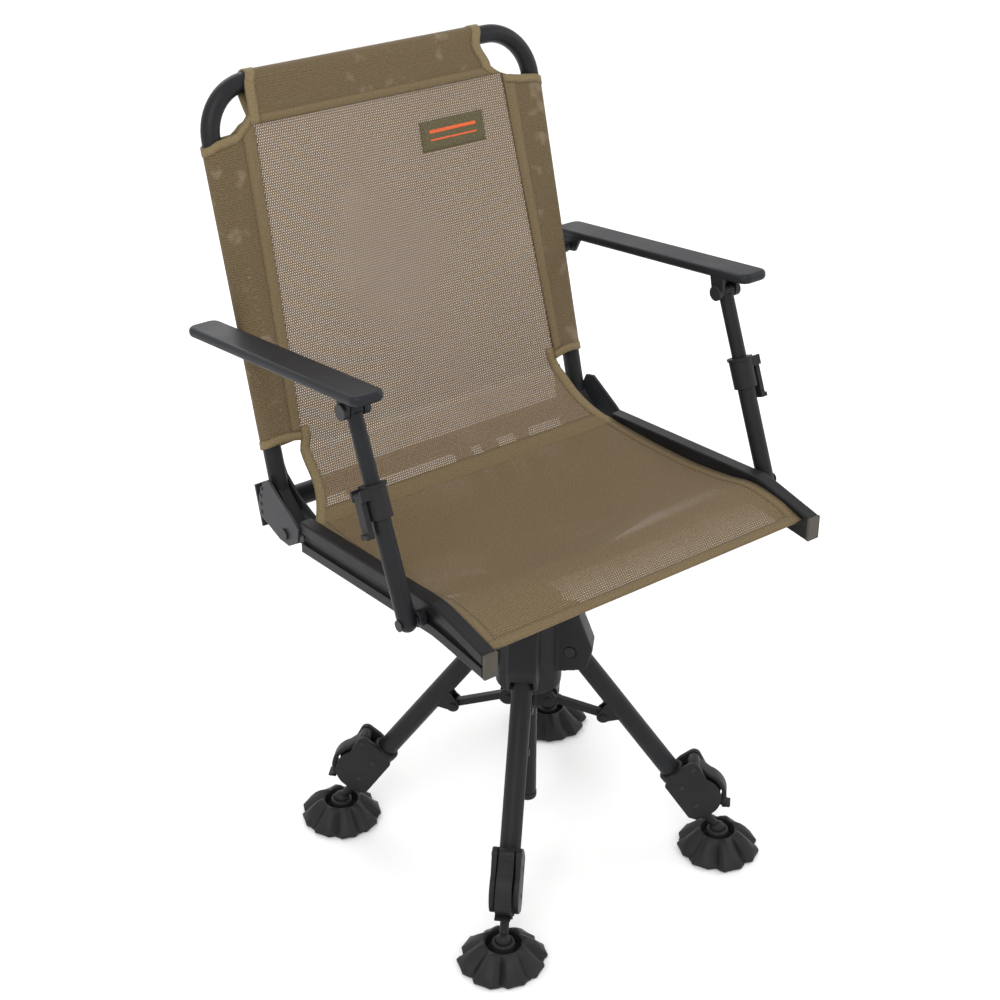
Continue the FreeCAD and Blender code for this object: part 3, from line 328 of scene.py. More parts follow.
def bumpFrom(tree, shader, height, distance, strength=1.0, under=None):
    bump = tree.nodes.new("ShaderNodeBump")
    bump.inputs["Distance"].default_value = distance
    bump.inputs["Strength"].default_value = strength
    tree.links.new(height, bump.inputs["Height"])
    if under is not None:
        tree.links.new(under, bump.inputs["Normal"])
    tree.links.new(bump.outputs["Normal"], shader.inputs["Normal"])


blackFinishes = {
    # base, patch and painted edge highlight colours, roughness low to high, bump in metres
    "powderCoat": {
        "base": (0.0075, 0.0078, 0.0088), "patch": (0.012, 0.0125, 0.014), "paintedEdgeHighlight": (0.060, 0.062, 0.068),
        "smooth": 0.36, "rough": 0.52, "fine": 1500.0, "bump": 0.00008, "edgeHighlighting": 0.35, "dust": 0.05},
    "mouldedNylon": {
        "base": (0.0095, 0.0095, 0.0102), "patch": (0.015, 0.015, 0.016), "paintedEdgeHighlight": (0.045, 0.045, 0.048),
        "smooth": 0.42, "rough": 0.58, "fine": 900.0, "bump": 0.00012, "edgeHighlighting": 0.30, "dust": 0.10},
    "armMoulding": {
        "base": (0.011, 0.012, 0.0145), "patch": (0.016, 0.017, 0.020), "paintedEdgeHighlight": (0.055, 0.057, 0.063),
        "smooth": 0.40, "rough": 0.52, "fine": 1300.0, "bump": 0.00006, "edgeHighlighting": 0.35, "dust": 0.05},
    "footPlastic": {
        "base": (0.0095, 0.0098, 0.0105), "patch": (0.017, 0.0175, 0.0185), "paintedEdgeHighlight": (0.045, 0.046, 0.050),
        "smooth": 0.40, "rough": 0.60, "fine": 700.0, "bump": 0.00016, "edgeHighlighting": 0.45, "dust": 0.14},
    "fastenerBlack": {
        "base": (0.014, 0.014, 0.0155), "patch": (0.024, 0.024, 0.026), "paintedEdgeHighlight": (0.18, 0.18, 0.19),
        "smooth": 0.26, "rough": 0.40, "fine": 1800.0, "bump": 0.00004, "edgeHighlighting": 0.55, "dust": 0.03},
    "hingeSteel": {
        "base": (0.020, 0.021, 0.0235), "patch": (0.032, 0.033, 0.036), "paintedEdgeHighlight": (0.14, 0.143, 0.15),
        "smooth": 0.30, "rough": 0.46, "fine": 1500.0, "bump": 0.00006, "edgeHighlighting": 0.5, "dust": 0.05},
    "railCap": {
        "base": (0.060, 0.052, 0.042), "patch": (0.085, 0.075, 0.062), "paintedEdgeHighlight": (0.15, 0.14, 0.12),
        "smooth": 0.45, "rough": 0.62, "fine": 900.0, "bump": 0.0001, "edgeHighlighting": 0.3, "dust": 0.05},
}


def blackFinish(name, finish):
    material, tree, shader, place = blankMaterial(name)
    vector = place.outputs["Object"]
    grain = placeGroup(tree, grainGroup, vector, {"Fine Scale": finish["fine"]})
    # the edge group paints a lighter highlight along the edges and gives a rounded normal
    edgeHighlighting = placeGroup(tree, edgeHighlightGroup, vector, {"Amount": finish["edgeHighlighting"]})
    dust = placeGroup(tree, dustGroup, vector, {"Amount": finish["dust"]})
    body = mixColours(tree, grain.outputs["Patch"], finish["base"], finish["patch"])
    # painted edge highlight laid over the body colour
    paintedEdgeHighlight = mixColours(tree, edgeHighlighting.outputs["Mask"], body, finish["paintedEdgeHighlight"])
    dusty = mixColours(tree, dust.outputs["Mask"], paintedEdgeHighlight, (0.075, 0.068, 0.058))
    tree.links.new(dusty, shader.inputs["Base Color"])
    tree.links.new(rangeNode(tree, grain.outputs["Patch"], 0.0, 1.0, finish["smooth"], finish["rough"]),
                   shader.inputs["Roughness"])
    shader.inputs["Specular IOR Level"].default_value = 0.2
    bumpFrom(tree, shader, grain.outputs["Height"], finish["bump"], under=edgeHighlighting.outputs["Normal"])
    return material


def makeRubbed():
    # pale rubbed spots and streaks, longer along the cloth than across it
    group, given, wanted = shaderGroup("rubbedSpots", [
        ("Vector", "NodeSocketVector", None), ("Size", "NodeSocketFloat", 30.0),
        ("Amount", "NodeSocketFloat", 0.4)], [("Mask", "NodeSocketFloat")])
    spots = noiseNode(group, given.outputs["Vector"], given.outputs["Size"], 2.0, 0.5)
    clear = rangeNode(group, spots, 0.60, 0.72, 0.0, 1.0)
    group.links.new(mathNode(group, "MULTIPLY", clear, given.outputs["Amount"], True), wanted.inputs["Mask"])
    return group


rubbedGroup = makeRubbed()
meshCloth = {
    # yarn colours, hole pitch in metres of cloth, share that is open, rubbed spots
    "openMesh": {"yarn": (0.150, 0.102, 0.058), "fleck": (0.225, 0.162, 0.102),
                 "pitch": 0.0030, "open": 0.44, "spots": 9.0, "rubbed": 0.10},
    "seatMesh": {"yarn": (0.150, 0.102, 0.050), "fleck": (0.200, 0.142, 0.078),
                 "pitch": 0.0030, "open": 0.50, "spots": 7.0, "rubbed": 0.12},
    "sleeveMesh": {"yarn": (0.105, 0.072, 0.034), "fleck": (0.145, 0.104, 0.054),
                   "pitch": 0.0030, "open": 0.30, "spots": 42.0, "rubbed": 0.30},
}
solidCloth = {
    "seamCloth": {"yarn": (0.128, 0.090, 0.042), "fleck": (0.170, 0.124, 0.064), "pitch": 0.0015},
    "bindingTape": {"yarn": (0.160, 0.116, 0.054), "fleck": (0.215, 0.162, 0.084), "pitch": 0.0009},
    "labelGround": {"yarn": (0.075, 0.062, 0.028), "fleck": (0.120, 0.102, 0.052), "pitch": 0.0008},
    "labelStripe": {"yarn": (0.62, 0.085, 0.022), "fleck": (0.72, 0.150, 0.050), "pitch": 0.0008},
}


def clothMaterial(name, cloth):
    material, tree, shader, place = blankMaterial(name)
    weave = placeGroup(tree, weaveGroup, place.outputs["UV"],
                       {"Pitch": cloth["pitch"], "Open": cloth.get("open", 0.0)})
    colour = mixColours(tree, rangeNode(tree, weave.outputs["Yarn"], 0.35, 0.65, 0.0, 1.0),
                        cloth["yarn"], cloth["fleck"])
    if "rubbed" in cloth:
        rubbed = placeGroup(tree, rubbedGroup, place.outputs["Object"],
                            {"Size": cloth["spots"], "Amount": cloth["rubbed"]})
        colour = mixColours(tree, rubbed.outputs["Mask"], colour, (0.33, 0.265, 0.185))
    tree.links.new(colour, shader.inputs["Base Color"])
    if "open" in cloth:
        tree.links.new(weave.outputs["Cover"], shader.inputs["Alpha"])
    shader.inputs["Roughness"].default_value = 0.7
    shader.inputs["Specular IOR Level"].default_value = 0.25
    shader.inputs["Sheen Weight"].default_value = 0.03
    shader.inputs["Sheen Roughness"].default_value = 0.5
    bumpFrom(tree, shader, weave.outputs["Height"], 0.0004, 0.8)
    return material


threadFinish = {"colour": (0.21, 0.16, 0.09), "shade": (0.13, 0.095, 0.05)}


def threadMaterial():
    material, tree, shader, place = blankMaterial("stitchThread")
    twist = tree.nodes.new("ShaderNodeTexWave")
    tree.links.new(place.outputs["Object"], twist.inputs["Vector"])
    twist.inputs["Scale"].default_value = 900.0
    tree.links.new(mixColours(tree, twist.outputs["Fac"], threadFinish["colour"], threadFinish["shade"]),
                   shader.inputs["Base Color"])
    shader.inputs["Roughness"].default_value = 0.6
    bumpFrom(tree, shader, twist.outputs["Fac"], 0.0001)
    return material


materials = {name: blackFinish(name, finish) for name, finish in blackFinishes.items()}
for clothName, cloth in (meshCloth | solidCloth).items():
    materials[clothName] = clothMaterial(clothName, cloth)
materials["stitchThread"] = threadMaterial()
slotFinish = {"coated_steel": "powderCoat", "moulded_plastic": "mouldedNylon", "arm_moulding": "armMoulding",
              "foot_rubber": "footPlastic", "blackened_fasteners": "fastenerBlack", "mesh_fabric": "seatMesh"}
nodeFinish = {"hinge_bracket_left": "hingeSteel", "hinge_bracket_right": "hingeSteel",
              "rail_end_plugs": "railCap"}
finishOf = {row["node"]: nodeFinish.get(row["node"], slotFinish[row["material_slot"]])
            for row in frame["record"]["subparts"]}
bodyOf = {node: body for body, names in frame["record"]["behaviour"]["bodies"].items() for node in names}
for nodeName, finishName in finishOf.items():
    node = frame["nodes"][nodeName]
    node.data.materials.clear()
    node.data.materials.append(materials[finishName])
print("materials made:", len(materials))


sling = {
    "panelBehind": 0.0195, "clothThickness": 0.0009,
    "seamTop": 0.464, "seamBottom": 0.099, "seamHalfTop": 0.176, "seamHalfBottom": 0.192,
    "creaseDepth": 0.117, "creaseHeight": 0.4835, "columns": 64,
    "seatHalf": 0.2275, "waist": 0.200, "creaseHalf": 0.228, "pinch": 0.008,
    "sleeveBottom": 0.097, "sleeveWave": 0.004, "sleeveRows": 72, "bandColumns": 80,
    "seatSag": 0.010, "backSag": 0.004, "panelRipple": 0.0009, "sleeveRipple": 0.0011, "bandRipple": 0.0012,
}
tubeWrap = {"half": 0.227, "behind": 0.0309, "top": 0.512, "radius": 0.0122,
            "seamBehind": sling["panelBehind"] - 0.0006, "layerGap": 0.0022}


def slingPath():
    # the middle line of the sling, from the band at the top down the back and along the seat
    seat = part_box("seat_sling")
    top = [onBack(0, up, sling["panelBehind"]) for up in (sling["seamTop"], 0.38, 0.28, 0.19, 0.115, 0.085)]
    crease = Vector((0, sling["creaseDepth"], sling["creaseHeight"]))
    seatLine = [(0.085, 0.4822), (0.03, 0.4815), (-0.04, 0.4835), (-0.10, 0.4905), (-0.14, 0.4975),
                (-0.185, 0.4935), (seat[0].y + 0.001, 0.4825)]
    upper = evenly(top + [crease + Vector((0, 0.006, 0.006))], 90)
    lower = smoothCurve([crease] + [Vector((0, y, z)) for y, z in seatLine], 90)
    return upper, lower


def slingHalf(point, isSeat):
    # half the cloth's width beside a point of the middle line
    if isSeat:
        return sling["seatHalf"]
    up = (point - backFrame["hinge"]).dot(onBack(0, 1, 0) - onBack(0, 0, 0))
    if up >= sling["seamBottom"]:
        share = (sling["seamTop"] - up) / (sling["seamTop"] - sling["seamBottom"])
        return sling["seamHalfTop"] + (sling["seamHalfBottom"] - sling["seamHalfTop"]) * share
    depth = (sling["seamBottom"] - up) / 0.09  # 0 at the sleeve's end, 1 at the crease
    waist = sling["waist"] - sling["pinch"] * (1 - min(depth * 2.2, 1)) ** 2
    return waist + (sling["creaseHalf"] - sling["waist"]) * max(0.0, (depth - 0.35) / 0.65) ** 2


def makeSling():
    upper, lower = slingPath()
    line = upper + lower[1:]
    seatFrom = len(upper)
    rows, uvs = [], []
    travelled = 0.0
    columns = sling["columns"]
    for i, point in enumerate(line):
        if i:
            travelled += (point - line[i - 1]).length
        ahead = line[min(i + 1, len(line) - 1)] - line[max(i - 1, 0)]
        normal = Vector((0, ahead.z, -ahead.y)).normalized()
        if normal.z < 0:
            normal.negate()
        half = slingHalf(point, i >= seatFrom)
        if i >= seatFrom:
            share = (i - seatFrom) / (len(line) - seatFrom - 1)
            sag = sling["seatSag"] * math.sin(math.pi * min(share * 1.15 + 0.04, 1.0)) ** 0.8
        else:
            share = i / (seatFrom - 1)
            sag = sling["backSag"] * math.sin(math.pi * min(share * 1.05, 1))
        row, uvRow = [], []
        for j in range(columns + 1):
            u = 2 * j / columns - 1
            ripple = sling["panelRipple"] * noise.noise(Vector((u * 2.2, travelled * 5, 3.1)))
            drop = sag * (1 - u * u) - ripple * (1 - abs(u) ** 4)
            row.append(point + Vector((u * half, 0, 0)) - normal * drop)
            uvRow.append((u * half, travelled))
        rows.append(row)
        uvs.append(uvRow)
    piece = gridPiece("slingPanel", rows, uvs, materials["openMesh"])
    piece.data.materials.append(materials["seatMesh"])
    for polygon in piece.data.polygons:
        if polygon.vertices[0] // (columns + 1) >= seatFrom:
            polygon.material_index = 1
    shadeSmooth(piece)
    thicken(piece, sling["clothThickness"])
    return piece, rows, uvs, seatFrom


slingPiece, slingRows, slingUv, seatFrom = makeSling()
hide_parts("seat_sling", "back_sling")
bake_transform(slingPiece)


def wrapSection(near, farSide):
    # around a tube: near is where both layers meet, as (across, behind); points run front, tube, back
    centre = Vector((farSide, tubeWrap["behind"]))
    reach = Vector(near) - centre
    spread = math.acos(tubeWrap["radius"] / reach.length)
    toNear = math.atan2(reach.y, reach.x)
    front = toNear + spread
    rear = toNear - spread + 2 * math.pi
    ring = []
    for k in range(15):
        angle = front + (rear - front) * k / 14
        ring.append(centre + Vector((math.cos(angle), math.sin(angle))) * tubeWrap["radius"])
    frontLine = [Vector(near).lerp(ring[0], k / 9) for k in range(9)]
    rearLine = [ring[-1].lerp(Vector(near) + Vector((0, tubeWrap["layerGap"])), k / 9) for k in range(1, 10)]
    return frontLine + ring + rearLine


cutOuts = {
    # the top corners of each sleeve and the ends of the top band, as (across, up)
    -1: {"sleeve": [(0.176, 0.482), (0.186, 0.469), (0.203, 0.457), (0.223, 0.455), (0.240, 0.449)],
         "band": [(0.181, 0.462), (0.180, 0.479), (0.179, 0.508), (0.172, 0.526)]},
    1: {"sleeve": [(0.170, 0.468), (0.180, 0.461), (0.205, 0.457), (0.222, 0.455), (0.240, 0.449)],
        "band": [(0.178, 0.459), (0.160, 0.476), (0.149, 0.503), (0.156, 0.526)]},
}


def heightAt(outline, value, key):
    # the other coordinate of an outline where one coordinate has a value
    other = 1 - key
    ordered = sorted(outline, key=lambda point: point[key])
    if value <= ordered[0][key]:
        return ordered[0][other]
    for a, b in zip(ordered, ordered[1:]):
        if value <= b[key]:
            share = (value - a[key]) / (b[key] - a[key])
            share = share * share * (3 - 2 * share)
            return a[other] + (b[other] - a[other]) * share
    return ordered[-1][other]


def slack(k):
    # none on the tube, full by the seam, and outward on both layers
    return min(1.0, abs(k - 16) / 8) * (1 if k < 16 else -1)


def finishCloth(piece, thickness, body=None):
    shadeSmooth(piece)
    thicken(piece, thickness)
    clothRide(piece, body)
    return piece


def clothRide(piece, body):
    if body:
        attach(piece, body)
    else:
        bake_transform(piece)


def makeSleeve(side, name):
    rows, uvs = [], []
    for i in range(sling["sleeveRows"] + 1):
        share = i / sling["sleeveRows"]
        seam = sling["seamHalfTop"] + (sling["seamHalfBottom"] - sling["seamHalfTop"]) * share
        section = wrapSection((seam, tubeWrap["seamBehind"]), tubeWrap["half"])
        row, uvRow = [], []
        walked = 0.0
        for k, point in enumerate(section):
            if k:
                walked += (point - section[k - 1]).length
            top = heightAt(cutOuts[side]["sleeve"], point.x, 0)
            bottom = sling["sleeveBottom"] + sling["sleeveWave"] * math.sin(60 * walked)
            along = top + (bottom - top) * share
            ripple = sling["sleeveRipple"] * noise.noise(Vector((walked * 9, along * 7, 5.0 + side)))
            row.append(onBack(side * point.x, along, point.y + ripple * slack(k)))
            uvRow.append((side * (0.176 + walked), along))
        rows.append(row)
        uvs.append(uvRow)
    if side > 0:
        rows = [row[::-1] for row in rows]
        uvs = [row[::-1] for row in uvs]
    piece = gridPiece(name, rows, uvs, materials["sleeveMesh"])
    return finishCloth(piece, sling["clothThickness"], "back"), rows, uvs


def makeBand():
    rows, uvs = [], []
    section = wrapSection((sling["seamTop"], tubeWrap["seamBehind"]), tubeWrap["top"])
    count = sling["bandColumns"]
    walked = 0.0
    for k, point in enumerate(section):
        if k:
            walked += (point - section[k - 1]).length
        row, uvRow = [], []
        left = heightAt(cutOuts[-1]["band"], point.x, 1)
        right = heightAt(cutOuts[1]["band"], point.x, 1)
        for i in range(count + 1):
            x = -left + (left + right) * i / count
            ripple = sling["bandRipple"] * noise.noise(Vector((x * 8, walked * 20, 9.0)))
            row.append(onBack(x, point.x, point.y + ripple * slack(k)))
            uvRow.append((x, walked))
        rows.append(row)
        uvs.append(uvRow)
    piece = gridPiece("topBand", rows, uvs, materials["sleeveMesh"])
    return finishCloth(piece, sling["clothThickness"], "back"), rows, uvs


sleeves = {side: makeSleeve(side, name) for side, name in ((-1, "sleeveLeft"), (1, "sleeveRight"))}
bandPiece, bandRows, bandUv = makeBand()
bandWidth = len(bandRows[0])
print("sling laid out")


hem = {"thickness": 0.0030, "seamThickness": 0.0024, "stitchLift": 0.0002}


def strip(name, rows, uvs, firstRow, lastRow, firstColumn, lastColumn, material, thickness, body=None):
    # the part of a grid between two rows and two columns, as its own thicker piece of cloth
    part = [row[firstColumn:lastColumn] for row in rows[firstRow:lastRow]]
    flat = [row[firstColumn:lastColumn] for row in uvs[firstRow:lastRow]]
    return finishCloth(gridPiece(name, part, flat, materials[material]), thickness, body)


def rowAtUp(up):
    # the row of the sling's grid that is nearest to a height up the back
    middle = sling["columns"] // 2
    target = onBack(0, up, sling["panelBehind"])
    return min(range(seatFrom), key=lambda i: (slingRows[i][middle] - target).length)


def makeHems():
    # folded edges where the cloth is cut, and double bands where two panels are sewn together
    columns = sling["columns"] + 1
    opening = rowAtUp(sling["seamBottom"] + 0.012)
    last = len(slingRows)
    panel = (slingRows, slingUv)
    edge, seam = ("bindingTape", hem["thickness"]), ("seamCloth", hem["seamThickness"])
    pieces = []
    for side, name in ((-1, "Left"), (1, "Right")):
        outer = (0, 3) if side < 0 else (columns - 3, columns)
        pieces.append(strip("cutOutHem" + name, *panel, opening, seatFrom + 2, *outer, *edge))
        pieces.append(strip("seatHem" + name, *panel, seatFrom, last, *outer, *seam, "seat"))
        sleeve = sleeves[side][1:]
        count, width = len(sleeve[0]), len(sleeve[0][0])
        inner = (0, 4) if side < 0 else (width - 4, width)
        pieces.append(strip("sleeveTopHem" + name, *sleeve, 0, 3, 0, width, *edge, "back"))
        pieces.append(strip("sleeveEndHem" + name, *sleeve, count - 3, count, 0, width, *edge, "back"))
        pieces.append(strip("sideSeam" + name, *sleeve, 2, count - 2, *inner, *seam, "back"))
        bandEnd = (0, 4) if side < 0 else (bandWidth - 4, bandWidth)
        pieces.append(strip("bandHem" + name, bandRows, bandUv, 0, len(bandRows), *bandEnd, *edge, "back"))
    pieces.append(strip("frontHem", *panel, last - 4, last, 0, columns,
                        "seamCloth", hem["thickness"], "seat"))
    pieces.append(strip("creaseSeam", *panel, seatFrom - 2, seatFrom + 2, 1, columns - 1, *seam))
    pieces.append(strip("bandSeam", bandRows, bandUv, 0, 3, 3, bandWidth - 3, *seam, "back"))
    return pieces


hemPieces = makeHems()


def gridLine(rows, column=None, row=None, lift=0.0, first=0, last=None):
    # a line of a grid, raised off its front by a little
    if column is not None:
        points = [line[column] for line in rows][first:last]
        beside = [line[min(column + 1, len(line) - 1)] - line[max(column - 1, 0)] for line in rows]
        beside = beside[first:last]
    else:
        points = rows[row][first:last]
        under = rows[min(row + 1, len(rows) - 1)]
        above = rows[max(row - 1, 0)]
        beside = [b - a for a, b in zip(above, under)][first:last]
    result = []
    for i, point in enumerate(points):
        ahead = points[min(i + 1, len(points) - 1)] - points[max(i - 1, 0)]
        normal = ahead.cross(beside[i])
        if normal.length < 1e-12:
            normal = backNormal()
        normal.normalize()
        if normal.dot(Vector((0, -1, 0.8))) < 0:
            normal.negate()
        result.append(point + normal * lift)
    return result


def repeatTree(name, sockets, axis, sizes):
    # one shape set on points: turned along a direction, scaled, made real and given a material
    tree = bpy.data.node_groups.new(name, "GeometryNodeTree")
    ids = {}
    for label, kind, value in sockets:
        socket = tree.interface.new_socket(label, in_out="INPUT", socket_type=kind)
        ids[label] = socket.identifier
        if value is not None:
            socket.default_value = value
    tree.interface.new_socket("Copies", in_out="OUTPUT", socket_type="NodeSocketGeometry")
    given = tree.nodes.new("NodeGroupInput")
    align = tree.nodes.new("FunctionNodeAlignRotationToVector")
    align.axis = axis
    scale = tree.nodes.new("ShaderNodeCombineXYZ")
    place = tree.nodes.new("GeometryNodeInstanceOnPoints")
    realize = tree.nodes.new("GeometryNodeRealizeInstances")
    paint = tree.nodes.new("GeometryNodeSetMaterial")
    for across, label in zip("XYZ", sizes):
        tree.links.new(given.outputs[label], scale.inputs[across])
    tree.links.new(align.outputs["Rotation"], place.inputs["Rotation"])
    tree.links.new(scale.outputs["Vector"], place.inputs["Scale"])
    tree.links.new(place.outputs["Instances"], realize.inputs["Geometry"])
    tree.links.new(realize.outputs["Geometry"], paint.inputs["Geometry"])
    tree.links.new(given.outputs["Material"], paint.inputs["Material"])
    tree.links.new(paint.outputs["Geometry"], tree.nodes.new("NodeGroupOutput").inputs["Copies"])
    return tree, ids, given, align, place


def stitchTree():
    # short stitches set along a line, each turned to follow it
    tree, ids, given, align, place = repeatTree("stitchRun", [
        ("Line", "NodeSocketGeometry", None), ("Spacing", "NodeSocketFloat", 0.0042),
        ("Stitch Length", "NodeSocketFloat", 0.003), ("Thread Width", "NodeSocketFloat", 0.0008),
        ("Material", "NodeSocketMaterial", None)], "X", ("Stitch Length", "Thread Width", "Thread Width"))
    toCurve = tree.nodes.new("GeometryNodeMeshToCurve")
    resample = tree.nodes.new("GeometryNodeResampleCurve")
    resample.mode = "LENGTH"
    tangent = tree.nodes.new("GeometryNodeInputTangent")
    ball = tree.nodes.new("GeometryNodeMeshIcoSphere")
    ball.inputs["Radius"].default_value = 0.5
    ball.inputs["Subdivisions"].default_value = 1
    tree.links.new(given.outputs["Line"], toCurve.inputs["Mesh"])
    tree.links.new(toCurve.outputs["Curve"], resample.inputs["Curve"])
    tree.links.new(given.outputs["Spacing"], resample.inputs["Length"])
    tree.links.new(resample.outputs["Curve"], place.inputs["Points"])
    tree.links.new(ball.outputs["Mesh"], place.inputs["Instance"])
    tree.links.new(tangent.outputs["Tangent"], align.inputs["Vector"])
    return tree, ids


def headTree():
    # low round heads of rivets and screws, one on each point, standing along the point's own direction
    tree, ids, given, align, place = repeatTree("fastenerHeads", [
        ("Points", "NodeSocketGeometry", None), ("Radius", "NodeSocketFloat", 0.004),
        ("Height", "NodeSocketFloat", 0.0016), ("Material", "NodeSocketMaterial", None)],
        "Z", ("Radius", "Radius", "Height"))
    facing = tree.nodes.new("GeometryNodeInputNamedAttribute")
    facing.data_type = "FLOAT_VECTOR"
    facing.inputs["Name"].default_value = "facing"
    ball = tree.nodes.new("GeometryNodeMeshUVSphere")
    for name, value in (("Segments", 20), ("Rings", 10), ("Radius", 1.0)):
        ball.inputs[name].default_value = value
    toPoints = tree.nodes.new("GeometryNodeMeshToPoints")
    smooth = tree.nodes.new("GeometryNodeSetShadeSmooth")
    tree.links.new(given.outputs["Points"], toPoints.inputs["Mesh"])
    tree.links.new(toPoints.outputs["Points"], place.inputs["Points"])
    tree.links.new(ball.outputs["Mesh"], smooth.inputs["Geometry"])
    tree.links.new(smooth.outputs["Geometry"], place.inputs["Instance"])
    tree.links.new(facing.outputs["Attribute"], align.inputs["Vector"])
    return tree, ids


stitchNodes, stitchInputs = stitchTree()
headNodes, headInputs = headTree()


def spread(name, points, edges, nodeTree, values, facings=()):
    # a bare mesh of points or lines that a node tree turns into repeated pieces
    mesh = bpy.data.meshes.new(name)
    mesh.from_pydata([tuple(point) for point in points], edges, [])
    if facings:
        layer = mesh.attributes.new("facing", "FLOAT_VECTOR", "POINT")
        for i, facing in enumerate(facings):
            layer.data[i].vector = facing
    piece = bpy.data.objects.new(name, mesh)
    scene.collection.objects.link(piece)
    nodes = piece.modifiers.new("Copies", "NODES")
    nodes.node_group = nodeTree
    for identifier, value in values.items():
        nodes[identifier] = value
    return settle(piece)


def stitches(name, lines, body=None):
    points, edges = [], []
    for line in lines:
        start = len(points)
        points += line
        edges += [(start + i, start + i + 1) for i in range(len(line) - 1)]
    piece = spread(name, points, edges, stitchNodes, {stitchInputs["Material"]: materials["stitchThread"]})
    clothRide(piece, body)
    return piece


def fastenerHeads(name, spots, radius, height, body):
    # spots are pairs of a point and the direction its head faces
    values = {headInputs["Radius"]: radius, headInputs["Height"]: height,
              headInputs["Material"]: materials["fastenerBlack"]}
    points, facings = zip(*spots)
    piece = spread(name, points, [], headNodes, values, facings)
    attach(piece, body)


def sewEdges():
    raised = hem["thickness"] / 2 + hem["stitchLift"]
    seamLift = hem["seamThickness"] / 2 + hem["stitchLift"]
    last = len(slingRows)
    edges = (2, sling["columns"] - 2)
    seatLines = [gridLine(slingRows, column=column, lift=raised, first=seatFrom) for column in edges]
    seatLines += [gridLine(slingRows, row=last - k, lift=raised, first=2, last=-2) for k in (4, 3)]
    sleeveRow = rowAtUp(sling["seamBottom"])
    crossing = [gridLine(slingRows, column=column, lift=raised, first=sleeveRow, last=seatFrom)
                for column in edges]
    crossing.append(gridLine(slingRows, row=seatFrom - 2, lift=seamLift, first=3, last=-3))
    backLines = []
    for side in (-1, 1):
        rows = sleeves[side][1]
        width = len(rows[0])
        for k in (1, 3):
            column = k if side < 0 else width - 1 - k
            backLines.append(gridLine(rows, column=column, lift=seamLift, first=3, last=-3))
        first, end = (0, 10) if side < 0 else (width - 10, width)
        for row in (2, len(rows) - 3):
            backLines.append(gridLine(rows, row=row, lift=raised, first=first, last=end))
        column = 3 if side < 0 else bandWidth - 4
        backLines.append(gridLine(bandRows, column=column, lift=raised, first=0, last=10))
    for k in (1, 2):
        backLines.append(gridLine(bandRows, row=k, lift=seamLift, first=4, last=-4))
    return [stitches("seatStitches", seatLines, "seat"), stitches("crossingStitches", crossing),
            stitches("backStitches", backLines, "back")]


stitchPieces = sewEdges()


# a plain sewn label with two stripes
label = {"left": 0.044, "right": 0.137, "bottom": 0.390, "top": 0.426, "lift": 0.0012, "thickness": 0.0012,
         "inset": 0.0022, "stripeLift": 0.0006, "stripeThickness": 0.0005, "stitchLift": 0.0008,
         "stripes": ((0.056, 0.125, 0.4105, 0.4145), (0.056, 0.125, 0.4015, 0.4035))}


def panelPoint(x, up, lift):
    # a point of the back panel at a place across and up, raised off its front
    middle = sling["columns"] // 2
    upward = onBack(0, 1, 0) - backFrame["hinge"]
    heights = [(row[middle] - backFrame["hinge"]).dot(upward) for row in slingRows[:seatFrom]]
    i = next(k for k in range(len(heights) - 1) if heights[k + 1] <= up)
    share = (heights[i] - up) / (heights[i] - heights[i + 1])
    found = []
    for row in (slingRows[i], slingRows[i + 1]):
        half = row[-1].x
        column = (x / half + 1) / 2 * sling["columns"]
        k = int(column)
        found.append(row[k].lerp(row[k + 1], column - k))
    return found[0].lerp(found[1], share) + backNormal() * lift


def labelPatch(name, left, right, bottom, top, lift, material, thickness):
    rows, uvs = [], []
    for j in range(9):
        up = bottom + (top - bottom) * j / 8
        uvs.append([(left + (right - left) * i / 16, up) for i in range(17)])
        rows.append([panelPoint(x, up, lift) for x, up in uvs[-1]])
    return finishCloth(gridPiece(name, rows, uvs, materials[material]), thickness, "back")


def makeLabel():
    sides = (label["left"], label["right"], label["bottom"], label["top"])
    pieces = [labelPatch("labelPatch", *sides, label["lift"], "labelGround", label["thickness"])]
    for k, stripe in enumerate(label["stripes"]):
        pieces.append(labelPatch(f"labelStripe{k + 1}", *stripe, label["lift"] + label["stripeLift"],
                                 "labelStripe", label["stripeThickness"]))
    inset = label["inset"]
    left, right, bottom, top = sides[0] + inset, sides[1] - inset, sides[2] + inset, sides[3] - inset
    corners = [(left, bottom), (right, bottom), (right, top), (left, top)]
    lines = []
    for (x0, up0), (x1, up1) in zip(corners, corners[1:] + corners[:1]):
        lines.append([panelPoint(x0 + (x1 - x0) * k / 10, up0 + (up1 - up0) * k / 10,
                                 label["lift"] + label["stitchLift"]) for k in range(11)])
    pieces.append(stitches("labelStitches", lines, "back"))
    return pieces


labelPieces = makeLabel()


print("hems, seams, stitches and label made")


legAngles = {"front_left": 225, "front_right": 315, "rear_right": 45, "rear_left": 135}
legSet = {"reach": 0.052, "height": 0.292, "spread": 36.4, "ballHeight": 0.030}


def legPlace(leg):
    # runs down the leg along Z from its pivot, with the chair's middle on the X side
    turn = Matrix.Rotation(math.radians(legAngles[leg]), 4, "Z")
    lean = Matrix.Rotation(math.radians(180 - legSet["spread"]), 4, "Y")
    return turn @ Matrix.Translation((legSet["reach"], 0, legSet["height"])) @ lean


def footPlace(leg):
    drop = legSet["height"] - legSet["ballHeight"]
    reach = legSet["reach"] + drop * math.tan(math.radians(legSet["spread"]))
    return Matrix.Rotation(math.radians(legAngles[leg]), 4, "Z") @ Matrix.Translation((reach, 0, 0))


def addProfile(work, outline, low, high):
    # a closed outline in X and Z, given thickness along Y
    front = [work.verts.new((x, low, z)) for x, z in outline]
    rear = [work.verts.new((x, high, z)) for x, z in outline]
    work.faces.new(front)
    work.faces.new(rear[::-1])
    for k in range(len(outline)):
        n = (k + 1) % len(outline)
        work.faces.new((front[k], rear[k], rear[n], front[n]))


